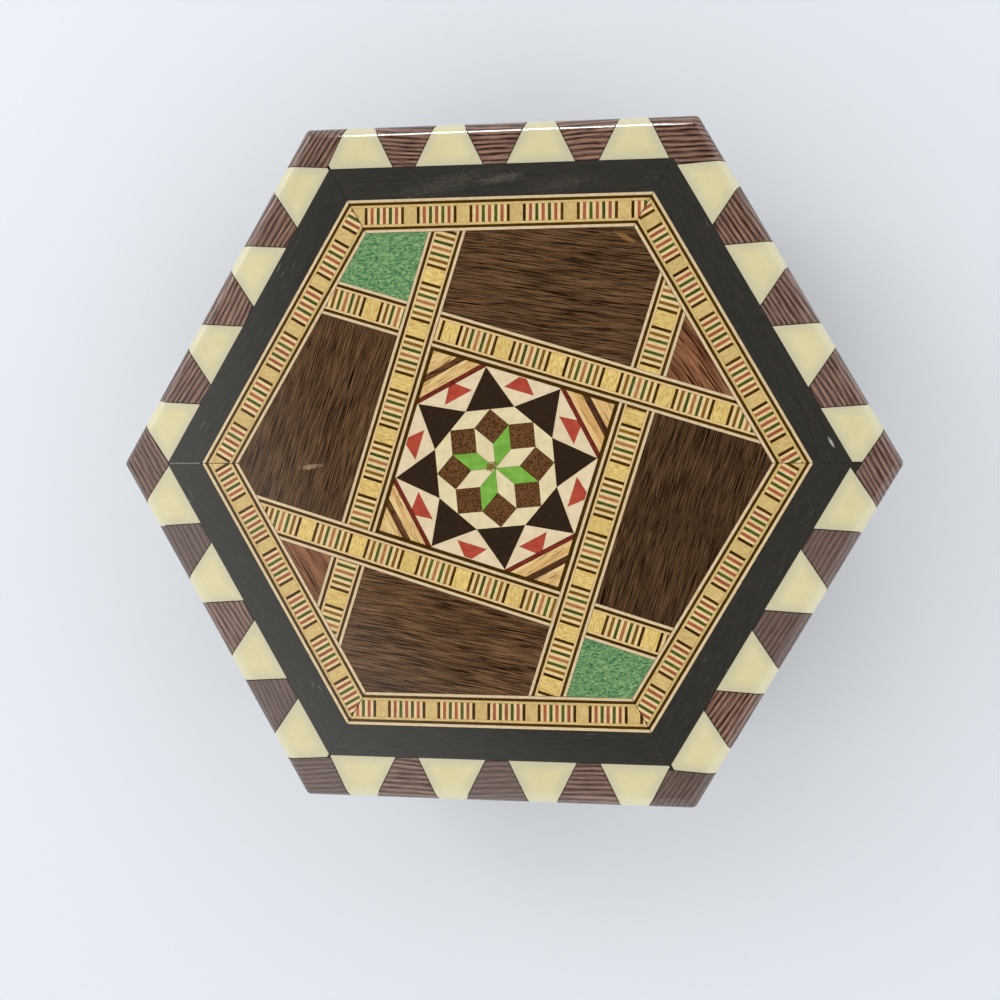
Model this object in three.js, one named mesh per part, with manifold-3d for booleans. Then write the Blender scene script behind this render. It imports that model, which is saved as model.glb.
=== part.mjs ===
// A six-sided jewelry box with a marquetry lid that lifts off. Millimetres, +Z up, resting on
// its underside at z = 0. Flats face +Y (the back) and -Y (the front), corners point to +X and -X.
import * as THREE from 'three';
import { mergeVertices } from 'three/addons/utils/BufferGeometryUtils.js';
import Module from 'manifold-3d';

const wasm = await Module();
wasm.setup();

// Box
const acrossFlats = 135.4;
const wallHeight = 48;
const wallThickness = 7;
const baseThickness = 4.5;
const cornerRadius = 1.2;

// Mosaic band let into each wall
const wallBandHeight = 6.7;
const wallBandDepth = 1.6;
const wallBandBottom = 20.7;

// Lid
const lidThickness = 8;
const lidStepDepth = 2.5;
const lidStepClearance = 0.6;
const lidSeatGap = 0.3;
const arrisRadius = 2.2;

// Edging: rosewood with bone-coloured wedges, wide side inwards
const edgingWidth = 8.6;
const edgingThickness = 3.8;
const wedgesPerSide = 4;
const wedgeOuterWidth = 5.2;
const wedgeGap = 4.5;
const wedgeThickness = 3;
// The wedges were set by eye: how far they stand off the middle of each side, back first
const wedgeShift = [-0.7, 0.3, -0.5, 0, 0.9, 1.5];

// Veneers on the raised field of the lid
const veneerThickness = 1.6;
const ebonyBorderWidth = 6.35;
const mosaicFrameWidth = 6.7;
const stripWidth = 7.2;
const cornerPanelDepth = 8.3;
const latticeTurn = -17;
const latticeCentre = { x: -0.4, y: -1 };
const medallionMargin = 0.85;

// Every glued joint, so that neighbours stay apart
const glueLine = 0.3;

// Worked out from the sizes above
const apothem = acrossFlats / 2;
const cavityApothem = apothem - wallThickness;
const edgingInner = apothem - edgingWidth;
const ebonyInner = edgingInner - ebonyBorderWidth;
const fieldApothem = ebonyInner - mosaicFrameWidth;
const veneerBottom = lidThickness - veneerThickness;
const halfSquare = (fieldApothem - cornerPanelDepth) / Math.SQRT2 - stripWidth;
const latticeOuter = halfSquare + stripWidth;
const beyond = 2 * acrossFlats;

// The medallion is drawn on one unit, the side of its small squares: an octagon of side two
// units with an equilateral point on each side.
const octagonSide = 2;
const octagonRadius = octagonSide / 2 / Math.sin(Math.PI / 8);
const octagonApothem = octagonSide / 2 / Math.tan(Math.PI / 8);
const pointRadius = octagonApothem + octagonSide * Math.sin(Math.PI / 3);
const flankDistance = pointRadius * Math.sin(Math.PI / 6);
const medallionUnit = (halfSquare - medallionMargin) / (pointRadius * Math.cos(Math.PI / 8));

const sideNames = ['back', 'back_left', 'front_left', 'front', 'front_right', 'back_right'];

const finish = {
  rosewood: new THREE.MeshStandardMaterial({ color: 0x5e3f3a, roughness: 0.3, metalness: 0 }),
  bone: new THREE.MeshStandardMaterial({ color: 0xddd7a5, roughness: 0.25, metalness: 0 }),
  ebonised: new THREE.MeshStandardMaterial({ color: 0x26231f, roughness: 0.25, metalness: 0 }),
  mosaic: new THREE.MeshStandardMaterial({ color: 0xc99f68, roughness: 0.3, metalness: 0 }),
  walnut: new THREE.MeshStandardMaterial({ color: 0x4a3428, roughness: 0.3, metalness: 0 }),
  mahogany: new THREE.MeshStandardMaterial({ color: 0x7a4630, roughness: 0.3, metalness: 0 }),
  green: new THREE.MeshStandardMaterial({ color: 0x3e8a63, roughness: 0.3, metalness: 0 }),
  ground: new THREE.MeshStandardMaterial({ color: 0xddd5b5, roughness: 0.3, metalness: 0 }),
  plainWood: new THREE.MeshStandardMaterial({ color: 0x8a6442, roughness: 0.5, metalness: 0 }),
};

/** A point at a distance from the origin, at an angle in degrees. */
function polar(radius, degrees) {
  const angle = THREE.MathUtils.degToRad(degrees);
  return new THREE.Vector2(radius * Math.cos(angle), radius * Math.sin(angle));
}

/** The corners of a hexagon with flats facing +Y and -Y. */
function hexagon(size) {
  const radius = size / Math.cos(Math.PI / 6);
  return Array.from({ length: 6 }, (_, i) => polar(radius, 60 * i));
}

/** The part of a convex outline that lies on the near side of a line, given by normal . p = reach. */
function clip(outline, normal, reach) {
  const kept = [];
  outline.forEach((point, i) => {
    const next = outline[(i + 1) % outline.length];
    const here = reach - normal.dot(point);
    const there = reach - normal.dot(next);
    if (here >= 0) kept.push(point);
    if (here * there < 0) kept.push(point.clone().lerp(next, here / (here - there)));
  });
  return kept;
}

/** The part of a convex outline inside a rectangle, open where a bound is left out. */
function window(outline, { left = -beyond, right = beyond, bottom = -beyond, top = beyond }) {
  const bounds = [[1, 0, right], [-1, 0, -left], [0, 1, top], [0, -1, -bottom]];
  return bounds.reduce((rest, [x, y, reach]) => clip(rest, new THREE.Vector2(x, y), reach), outline);
}

/** A convex outline with every side moved inwards. */
function inset(outline, distance) {
  return outline.reduce((rest, point, i) => {
    const along = outline[(i + 1) % outline.length].clone().sub(point);
    const normal = new THREE.Vector2(along.y, -along.x).normalize();
    return clip(rest, normal, normal.dot(point) - distance);
  }, outline);
}

/** A hexagon whose corners are rounded, as a shape. */
function roundedHexagon(size, radius) {
  const shape = new THREE.Shape();
  const centreRadius = (size - radius) / Math.cos(Math.PI / 6);
  for (let i = 0; i < 6; i += 1) {
    const centre = polar(centreRadius, 60 * i);
    const middle = THREE.MathUtils.degToRad(60 * i);
    shape.absarc(centre.x, centre.y, radius, middle - Math.PI / 6, middle + Math.PI / 6, false);
  }
  return shape;
}

/** An upright plate with a given outline, as a solid. */
function plate(outline, bottom, top) {
  const shape = outline instanceof THREE.Shape ? outline : new THREE.Shape(outline);
  const settings = { depth: top - bottom, bevelEnabled: false, curveSegments: 2 };
  return toSolid(new THREE.ExtrudeGeometry(shape, settings).translate(0, 0, bottom));
}

/** A solid with six flat sides turned from a profile of [apothem, height] pairs. */
function hexTurning(profile) {
  const points = profile.map(([size, height]) => new THREE.Vector2(size / Math.cos(Math.PI / 6), height));
  return toSolid(new THREE.LatheGeometry(points, 6, Math.PI / 2).rotateX(Math.PI / 2));
}

/** Turns a closed geometry into a solid that can be cut and joined. */
function toSolid(geometry) {
  geometry.deleteAttribute('normal');
  geometry.deleteAttribute('uv');
  const merged = mergeVertices(geometry, 1e-4);
  const index = Array.from(merged.index.array);
  const triVerts = [];
  for (let i = 0; i < index.length; i += 3) {
    const [a, b, c] = index.slice(i, i + 3);
    if (a !== b && b !== c && c !== a) triVerts.push(a, b, c);
  }
  const vertProperties = new Float32Array(merged.attributes.position.array);
  return new wasm.Manifold(new wasm.Mesh({
    numProp: 3, vertProperties, triVerts: new Uint32Array(triVerts),
  }));
}

/** A named mesh made from a solid. */
function piece(name, solid, material) {
  const { vertProperties, triVerts } = solid.getMesh();
  const geometry = new THREE.BufferGeometry();
  geometry.setAttribute('position', new THREE.BufferAttribute(new Float32Array(vertProperties), 3));
  geometry.setIndex(new THREE.BufferAttribute(new Uint32Array(triVerts), 1));
  geometry.computeVertexNormals();
  const mesh = new THREE.Mesh(geometry, material);
  mesh.name = name;
  return mesh;
}

/** The outline of a mitred length of border on the back side, between two apothems. */
function mitredLength(inner, outer) {
  const slope = Math.tan(Math.PI / 6);
  const outline = [[-inner, inner], [inner, inner], [outer, outer], [-outer, outer]];
  return inset(outline.map(([x, y]) => new THREE.Vector2(x * slope, y)), glueLine / 2);
}

/** The six copies of a piece made for the back side, one on each side of the box. */
function onEverySide(name, solid, material) {
  return sideNames.map((side, i) => {
    const copy = piece(`${name}_${side}`, solid, material);
    copy.rotation.z = i * Math.PI / 3;
    return copy;
  });
}

/** The walls and their mosaic bands. */
function makeWalls() {
  const corners = plate(roundedHexagon(apothem, cornerRadius), 0, wallHeight);
  const bandTop = wallBandBottom + wallBandHeight;
  const board = plate(mitredLength(cavityApothem, apothem), 0, wallHeight);
  const groove = plate(
    window(hexagon(beyond), { bottom: apothem - wallBandDepth, top: beyond }), wallBandBottom, bandTop);
  const bandOutline = mitredLength(apothem - wallBandDepth, apothem + glueLine / 2);
  const band = plate(bandOutline, wallBandBottom + glueLine, bandTop - glueLine);
  return [
    ...onEverySide('wall', board.intersect(corners).subtract(groove), finish.walnut),
    ...onEverySide('wall_band', band.intersect(corners), finish.mosaic),
  ];
}

/** The board let in between the walls, level with their lower edges. */
function makeBase() {
  const outline = hexagon(cavityApothem - glueLine);
  return piece('base_board', plate(outline, 0, baseThickness), finish.plainWood);
}

/** The outside of the lid: six sides with a rounded upper arris and rounded corners. */
function lidBlank() {
  const profile = [[0, 0], [apothem, 0]];
  const steps = 4;
  for (let i = 0; i <= steps; i += 1) {
    const angle = i / steps * Math.PI / 2;
    profile.push([
      apothem - arrisRadius * (1 - Math.cos(angle)),
      lidThickness - arrisRadius * (1 - Math.sin(angle)),
    ]);
  }
  profile.push([0, lidThickness]);
  return hexTurning(profile).intersect(plate(roundedHexagon(apothem, cornerRadius), 0, lidThickness));
}

/** The lid's core: a step that drops between the walls, a rim on top of them and a raised field. */
function makeLidBoard() {
  const step = cavityApothem - lidStepClearance;
  const rimTop = lidThickness - edgingThickness - glueLine;
  const fieldTop = veneerBottom - glueLine;
  const field = edgingInner - glueLine / 2;
  const board = hexTurning([
    [0, -lidStepDepth], [step, -lidStepDepth], [step, 0], [apothem, 0],
    [apothem, rimTop], [field, rimTop], [field, fieldTop], [0, fieldTop],
  ]);
  const corners = plate(roundedHexagon(apothem, cornerRadius), -lidStepDepth, lidThickness);
  return piece('lid_board', board.intersect(corners), finish.plainWood);
}

/** The outlines of the wedges on the back side, from left to right, kept clear of the mitres. */
function wedgeOutlines(shift) {
  const innerLength = 2 * edgingInner * Math.tan(Math.PI / 6);
  const innerWidth = (innerLength - (wedgesPerSide - 1) * wedgeGap) / wedgesPerSide;
  return Array.from({ length: wedgesPerSide }, (_, i) => {
    const centre = shift - innerLength / 2 + innerWidth / 2 + i * (innerWidth + wedgeGap);
    const outline = [
      new THREE.Vector2(centre - innerWidth / 2, edgingInner),
      new THREE.Vector2(centre + innerWidth / 2, edgingInner),
      new THREE.Vector2(centre + wedgeOuterWidth / 2, apothem),
      new THREE.Vector2(centre - wedgeOuterWidth / 2, apothem),
    ];
    return [-30, 210].reduce((rest, mitre) => clip(rest, polar(1, mitre), -glueLine / 2), outline);
  });
}

/** The rosewood edging and the wedges let into it. */
function makeEdging(blank) {
  const bottom = lidThickness - edgingThickness;
  const pocketFloor = lidThickness - wedgeThickness;
  const inner = plate(hexagon(edgingInner + glueLine / 2), 0, lidThickness);
  const below = plate(hexagon(beyond), -1, bottom);
  let edging = blank.subtract(below).subtract(inner);
  const wedges = [];
  sideNames.forEach((name, side) => {
    wedgeOutlines(wedgeShift[side]).forEach((outline, i) => {
      const pocket = plate(outline, pocketFloor - glueLine, lidThickness + 1).rotate([0, 0, 60 * side]);
      edging = edging.subtract(pocket);
      const solid = plate(inset(outline, glueLine / 2), pocketFloor, lidThickness).intersect(blank);
      const wedge = piece(`bone_wedge_${i + 1}_${name}`, solid, finish.bone);
      wedge.rotation.z = side * Math.PI / 3;
      wedges.push(wedge);
    });
  });
  return [piece('rosewood_edging', edging, finish.rosewood), ...wedges];
}

/** A flat hexagonal ring of veneer between two apothems. */
function makeRing(name, inner, outer, material) {
  const ring = plate(hexagon(outer - glueLine / 2), veneerBottom, lidThickness);
  const hole = plate(hexagon(inner + glueLine / 2), 0, lidThickness + 1);
  return piece(name, ring.subtract(hole), material);
}

/** The strips and panels, each cut from the field in a frame turned by quarter turns. */
function makeLattice() {
  const lattice = new THREE.Group();
  lattice.position.set(latticeCentre.x, latticeCentre.y, 0);
  lattice.rotation.z = THREE.MathUtils.degToRad(latticeTurn);
  const quarters = [
    ['back', 'mahogany_panel_back_right', finish.mahogany],
    ['right', 'green_panel_front_right', finish.green],
    ['front', 'mahogany_panel_front_left', finish.mahogany],
    ['left', 'green_panel_back_left', finish.green],
  ];
  quarters.forEach(([side, cornerName, cornerMaterial], i) => {
    const turn = THREE.MathUtils.degToRad(latticeTurn - 90 * i);
    const offset = new THREE.Vector2(latticeCentre.x, latticeCentre.y);
    const field = hexagon(fieldApothem).map(
      (point) => point.clone().sub(offset).rotateAround(new THREE.Vector2(), -turn));
    const veneer = (name, bounds, material) => {
      const outline = inset(window(field, bounds), glueLine / 2);
      const mesh = piece(name, plate(outline, veneerBottom, lidThickness), material);
      mesh.rotation.z = -i * Math.PI / 2;
      lattice.add(mesh);
    };
    const along = { bottom: halfSquare, top: latticeOuter };
    veneer(`long_strip_${side}`, { ...along, left: -halfSquare }, finish.mosaic);
    veneer(`short_strip_${side}`, { ...along, right: -latticeOuter }, finish.mosaic);
    veneer(`walnut_panel_${side}`,
      { bottom: latticeOuter, left: -halfSquare, right: halfSquare }, finish.walnut);
    veneer(cornerName, { bottom: latticeOuter, left: latticeOuter }, cornerMaterial);
  });
  lattice.add(...makeMedallion());
  return lattice;
}

/** The outline of the medallion's star, its points halfway between the square's axes. */
function starOutline(unit) {
  return Array.from({ length: 16 }, (_, i) => {
    const radius = i % 2 ? octagonRadius : pointRadius;
    return polar(radius * unit, 22.5 * (i + 1));
  });
}

/** The square ground in the middle, and the star let into it. */
function makeMedallion() {
  const half = halfSquare - glueLine / 2;
  const square = [[-half, -half], [half, -half], [half, half], [-half, half]];
  const ground = plate(square.map(([x, y]) => new THREE.Vector2(x, y)), veneerBottom, lidThickness);
  const pocket = plate(starOutline(medallionUnit), 0, lidThickness + 1);
  const star = plate(starOutline(medallionUnit - glueLine / flankDistance), veneerBottom, lidThickness);
  return [
    piece('medallion_ground', ground.subtract(pocket), finish.ground),
    piece('medallion_star', star, finish.ebonised),
  ];
}

/** The lid, measured from its underside, in its place on the walls. */
function makeLid() {
  const lid = new THREE.Group();
  lid.position.z = wallHeight + lidSeatGap;
  lid.add(
    makeLidBoard(),
    ...makeEdging(lidBlank()),
    makeRing('ebony_border', ebonyInner, edgingInner, finish.ebonised),
    makeRing('mosaic_frame', fieldApothem, ebonyInner, finish.mosaic),
    makeLattice(),
  );
  return lid;
}

const box = new THREE.Group();
box.add(...makeWalls(), makeBase(), makeLid());

export default box;
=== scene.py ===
"""A six-sided marquetry jewelry box: the inlay, finishes, floor, lights and camera.

Plan sizes are in millimetres, +Z up, with the flats facing +Y (the back) and -Y. Meshes are in
metres. A piece for one side of the box is laid out for the back side and turned in steps of 60
degrees.
"""

import logging
import math
import random
from dataclasses import dataclass, field
from enum import Enum
from typing import Any, Iterable, Optional

import bmesh
import bpy
from mathutils import Matrix, Vector

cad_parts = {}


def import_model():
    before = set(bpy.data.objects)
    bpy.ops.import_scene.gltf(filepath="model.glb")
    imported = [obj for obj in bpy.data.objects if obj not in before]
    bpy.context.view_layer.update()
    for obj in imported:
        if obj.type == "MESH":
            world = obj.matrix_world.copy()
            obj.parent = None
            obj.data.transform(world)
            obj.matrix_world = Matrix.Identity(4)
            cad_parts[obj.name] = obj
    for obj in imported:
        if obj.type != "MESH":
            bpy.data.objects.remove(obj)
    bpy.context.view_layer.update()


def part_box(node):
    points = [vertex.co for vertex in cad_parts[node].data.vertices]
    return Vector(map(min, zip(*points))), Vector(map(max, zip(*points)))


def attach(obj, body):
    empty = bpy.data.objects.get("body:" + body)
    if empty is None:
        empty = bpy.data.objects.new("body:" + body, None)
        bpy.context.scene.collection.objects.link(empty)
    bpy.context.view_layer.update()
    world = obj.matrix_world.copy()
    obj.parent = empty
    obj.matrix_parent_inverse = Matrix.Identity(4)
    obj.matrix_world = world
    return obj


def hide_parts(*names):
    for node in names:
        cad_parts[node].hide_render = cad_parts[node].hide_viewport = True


LOG = logging.getLogger("jewelry_box")

MM = 0.001
BODY = "root"
SIDES = ("back", "back_left", "front_left", "front", "front_right", "back_right")
QUARTERS = ("back", "right", "front", "left")

# The gap of the CAD model's glued joints, and those between the slips of the finished inlay.
FRAME_GLUE_LINE = 0.3
JOINT = 0.05
FINE_JOINT = 0.02
HAIR_JOINT = 0.01

# The lattice's turn on the lid in degrees, and how deep its corner panels reach into the field.
LATTICE_TURN = -17.0
CORNER_PANEL_DEPTH = 8.3

# The lid's corners are numbered from the right one, counter-clockwise. The mitre planes at the ends
# of the back side face these ways, in degrees.
LEFT_CORNER = 3
RIGHT_MITRE, LEFT_MITRE = -30, 210

# Edges that turn by more degrees than this are shaded sharp. Points nearer a cut than the slack, in
# metres, count as on it, and sides of an outline shorter than the least side are left out.
SHARP_ANGLE = 30
CUT_SLACK = 1e-9
LEAST_SIDE = 1e-6

# Noise is read up to this far apart, in millimetres, from one slip to the next.
SLIP_SPREAD = (430, 310, 170)

# How far the bars of the lid's bands stray from square, in radians.
BAR_WOBBLE = 0.008

# A typical value for clear wood lacquer.
LACQUER_IOR = 1.5

Point = tuple[float, float]
Outline = list[Point]
Stops = tuple[tuple[float, str], ...]
Nodes = bpy.types.NodeTree
Socket = bpy.types.NodeSocket


class Slot(Enum):
    """The record's material slots."""

    WALNUT = "walnut"
    ROSEWOOD = "rosewood"
    BONE = "bone"
    EBONISED = "ebonised"
    MOSAIC = "mosaic"
    MAHOGANY = "mahogany"
    GREEN = "green_dyed"
    GROUND = "medallion_ground"
    STAR = "medallion_star"
    PLAIN = "plain_wood"


# Colours and nodes


def linear(hex_colour: str) -> tuple[float, float, float, float]:
    """Turns an sRGB hex colour into linear values.

    Args:
        hex_colour: Six hex digits after a hash.

    Returns:
        Linear red, green, blue and alpha.
    """
    parts = [int(hex_colour[i:i + 2], 16) / 255 for i in (1, 3, 5)]
    values = [c / 12.92 if c <= 0.04045 else ((c + 0.055) / 1.055) ** 2.4 for c in parts]
    return (*values, 1.0)


def add_node(tree: Nodes, kind: str, inputs: Optional[dict[Any, Any]] = None, stops: Stops = (),
             **settings: Any) -> bpy.types.Node:
    """Adds a node with its settings, values and links.

    Args:
        tree: The node tree.
        kind: The node's type name.
        inputs: Input name or number to a value, or to the socket it is linked from.
        stops: Position and hex colour of each stop of a colour ramp, in order.
        settings: The node's own properties.

    Returns:
        The new node.
    """
    node = tree.nodes.new(kind)
    for name, value in settings.items():
        setattr(node, name, value)
    for name, value in (inputs or {}).items():
        if isinstance(value, Socket):
            tree.links.new(value, node.inputs[name])
        else:
            node.inputs[name].default_value = value
    if stops:
        elements = node.color_ramp.elements
        elements.remove(elements[-1])
        for i, (position, colour) in enumerate(stops):
            element = elements[0] if i == 0 else elements.new(position)
            element.position = position
            element.color = linear(colour)
    return node


def drawn_out_noise(tree: Nodes, place: Socket, along: float, across: float, detail: float = 3.0,
                    roughness: float = 0.6, distortion: float = 0.0) -> Socket:
    """Wood's figure: a noise drawn out along the grain.

    Args:
        tree: The material's node tree.
        place: Place in millimetres, with x along the grain.
        along: How many marks there are to the millimetre along the grain.
        across: How many there are across it.
        detail: How much finer noise is laid over it.
        roughness: How strong the finer noise is.
        distortion: How far the marks are bent.

    Returns:
        The noise.
    """
    drawn = add_node(tree, "ShaderNodeMapping", {"Vector": place, "Scale": (along, across, across)})
    noise = add_node(tree, "ShaderNodeTexNoise", {
        "Vector": drawn.outputs["Vector"], "Scale": 1.0, "Detail": detail, "Roughness": roughness,
        "Distortion": distortion})
    return noise.outputs["Fac"]


def turned_about_z(degrees: float) -> Matrix:
    """A turn about the vertical axis."""
    return Matrix.Rotation(math.radians(degrees), 4, "Z")


def in_metres(place: Matrix) -> Matrix:
    """A place in metres.

    Args:
        place: The place in millimetres.

    Returns:
        The same turn, with its shift in metres.
    """
    metres = place.copy()
    metres.translation = place.translation * MM
    return metres


# Flat outlines, counter-clockwise, in millimetres


def polar(radius: float, degrees: float) -> Point:
    """A point at a distance from the origin, at an angle."""
    return radius * math.cos(math.radians(degrees)), radius * math.sin(math.radians(degrees))


def hexagon(apothem: float) -> Outline:
    """The corners of a hexagon with flats facing +Y and -Y."""
    return [polar(apothem / math.cos(math.pi / 6), corner) for corner in range(0, 360, 60)]


def clipped(outline: Outline, normal: Point, reach: float) -> Outline:
    """The part of a convex outline on the near side of a line.

    Args:
        outline: The convex outline.
        normal: The line's unit normal, pointing to the side that is cut away.
        reach: The line's distance from the origin along the normal.

    Returns:
        The outline that is left, empty if nothing is.
    """
    kept: Outline = []
    for i, (x, y) in enumerate(outline):
        next_x, next_y = outline[(i + 1) % len(outline)]
        here = reach - normal[0] * x - normal[1] * y
        there = reach - normal[0] * next_x - normal[1] * next_y
        if here >= 0:
            kept.append((x, y))
        if here * there < 0:
            part = here / (here - there)
            kept.append((x + part * (next_x - x), y + part * (next_y - y)))
    return kept


def windowed(outline: Outline, left: float = -1e3, right: float = 1e3, bottom: float = -1e3,
             top: float = 1e3) -> Outline:
    """The part of a convex outline inside an upright rectangle.

    Args:
        outline: The convex outline.
        left: The rectangle's lowest x.
        right: Its highest x.
        bottom: Its lowest y.
        top: Its highest y.

    Returns:
        The outline that is left.
    """
    for normal, reach in (((1, 0), right), ((-1, 0), -left), ((0, 1), top), ((0, -1), -bottom)):
        outline = clipped(outline, normal, reach)
    return outline


def left_of(outline: Outline, start: Point, end: Point) -> Outline:
    """The part of a convex outline to the left of a line.

    Args:
        outline: The convex outline.
        start: A point on the line.
        end: A point further along it.

    Returns:
        The outline that is left.
    """
    length = math.hypot(end[0] - start[0], end[1] - start[1])
    normal = ((end[1] - start[1]) / length, (start[0] - end[0]) / length)
    return clipped(outline, normal, normal[0] * start[0] + normal[1] * start[1])


def edge_normals(outline: Outline) -> list[tuple[Point, float]]:
    """The lines along the sides of a convex outline.

    Args:
        outline: The convex outline.

    Returns:
        Each side's outward normal, and its distance from the origin along that normal.
    """
    sides = []
    for i, (x, y) in enumerate(outline):
        next_x, next_y = outline[(i + 1) % len(outline)]
        length = math.hypot(next_x - x, next_y - y)
        if length > LEAST_SIDE:
            normal = ((next_y - y) / length, (x - next_x) / length)
            sides.append((normal, normal[0] * x + normal[1] * y))
    return sides


def shrunk(outline: Outline, distance: float) -> Outline:
    """A convex outline with every side moved inwards.

    Args:
        outline: The convex outline.
        distance: How far its sides move.

    Returns:
        The smaller outline.
    """
    for normal, reach in edge_normals(outline):
        outline = clipped(outline, normal, reach - distance)
    return outline


def turned(outline: Outline, degrees: float, centre: Point = (0, 0)) -> Outline:
    """An outline turned about the origin and then moved to a centre."""
    c, s = math.cos(math.radians(degrees)), math.sin(math.radians(degrees))
    return [(centre[0] + c * x - s * y, centre[1] + s * x + c * y) for x, y in outline]


def mitred(inner: float, outer: float) -> Outline:
    """The plan of a mitred length on the back side, between two apothems."""
    slope = math.tan(math.pi / 6)
    return [(-inner * slope, inner), (inner * slope, inner), (outer * slope, outer), (-outer * slope, outer)]


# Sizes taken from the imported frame


@dataclass(frozen=True)
class Layout:
    """The sizes of the box and its lid, read from the frame, in millimetres."""

    apothem: float
    cavity: float
    edging_inner: float
    ebony_inner: float
    field_apothem: float
    half_square: float
    strip: float
    centre: Point
    wall_top: float
    edging_bottom: float
    wedge_bottom: float
    veneer_bottom: float
    top: float
    band_bottom: float
    band_top: float
    band_depth: float

    @property
    def veneers(self) -> tuple[float, float]:
        """The lowest and highest height of the lid's veneers."""
        return self.veneer_bottom, self.top

    @property
    def lattice_place(self) -> Matrix:
        """Where the lattice lies on the lid, in millimetres."""
        return Matrix.Translation((*self.centre, 0)) @ turned_about_z(LATTICE_TURN)

    @staticmethod
    def from_frame() -> "Layout":
        """Reads the sizes from the boxes of the frame's nodes.

        Returns:
            The layout.
        """
        def low(node: str) -> Vector:
            """The lowest corner of a node's box."""
            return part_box(node)[0] / MM

        def high(node: str) -> Vector:
            """The highest corner of a node's box."""
            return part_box(node)[1] / MM

        half = FRAME_GLUE_LINE / 2
        turn = math.radians(LATTICE_TURN)
        spread = math.cos(turn) + abs(math.sin(turn))
        ground_low, ground_high = low("medallion_ground"), high("medallion_ground")
        half_square = (ground_high.x - ground_low.x) / 2 / spread + half
        field_apothem = high("walnut_panel_back").y + half
        wall_low, wall_high = low("wall_back"), high("wall_back")
        band_low, band_high = low("wall_band_back"), high("wall_band_back")
        return Layout(
            apothem=high("rosewood_edging").y,
            cavity=wall_low.y - half,
            edging_inner=high("ebony_border").y + half,
            ebony_inner=high("mosaic_frame").y + half,
            field_apothem=field_apothem,
            half_square=half_square,
            strip=(field_apothem - CORNER_PANEL_DEPTH) / math.sqrt(2) - half_square,
            centre=((ground_low.x + ground_high.x) / 2, (ground_low.y + ground_high.y) / 2),
            wall_top=wall_high.z,
            edging_bottom=low("rosewood_edging").z,
            wedge_bottom=low("bone_wedge_1_back").z,
            veneer_bottom=low("ebony_border").z,
            top=high("rosewood_edging").z,
            band_bottom=band_low.z - FRAME_GLUE_LINE,
            band_top=band_high.z + FRAME_GLUE_LINE,
            band_depth=wall_high.y - band_low.y + half,
        )


# Finishes


@dataclass(frozen=True)
class Flaw:
    """A worn or mended spot on the lid: an ellipse of another tone, broken up along its length."""

    place: Point
    half_size: Point
    degrees: float
    colour: str
    strength: float = 0.8
    ragged: float = 1.2
    grain: float = 2.5
    edge_start: float = 0.55
    edge_stop: float = 1.0

    def lay(self, tree: Nodes, colour: Socket) -> Socket:
        """Lays the spot over a colour.

        Args:
            tree: The material's node tree.
            colour: The colour round it.

        Returns:
            The colour with the spot in it.
        """
        here = add_node(tree, "ShaderNodeMapping", {
            "Vector": add_node(tree, "ShaderNodeTexCoord").outputs["Object"],
            "Location": (self.place[0] * MM, self.place[1] * MM, 0),
            "Rotation": (0, 0, math.radians(self.degrees)),
            "Scale": (self.half_size[0] * MM, self.half_size[1] * MM, 1.0)}, vector_type="TEXTURE")
        reach = add_node(tree, "ShaderNodeVectorMath", {0: here.outputs["Vector"]}, operation="LENGTH")
        noise = add_node(tree, "ShaderNodeTexNoise",
                         {"Vector": here.outputs["Vector"], "Scale": self.grain, "Detail": 2.0})
        edge = add_node(tree, "ShaderNodeMath", {
            0: noise.outputs["Fac"], 1: self.ragged * 2, 2: reach.outputs["Value"]},
            operation="MULTIPLY_ADD")
        amount = add_node(tree, "ShaderNodeMapRange", {
            "Value": edge.outputs["Value"], "From Min": self.ragged + self.edge_start,
            "From Max": self.ragged + self.edge_stop, "To Min": self.strength, "To Max": 0.0})
        mixed = add_node(tree, "ShaderNodeMix", {
            "Factor": amount.outputs["Result"], "A": colour, "B": linear(self.colour)}, data_type="RGBA")
        return mixed.outputs["Result"]


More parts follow.
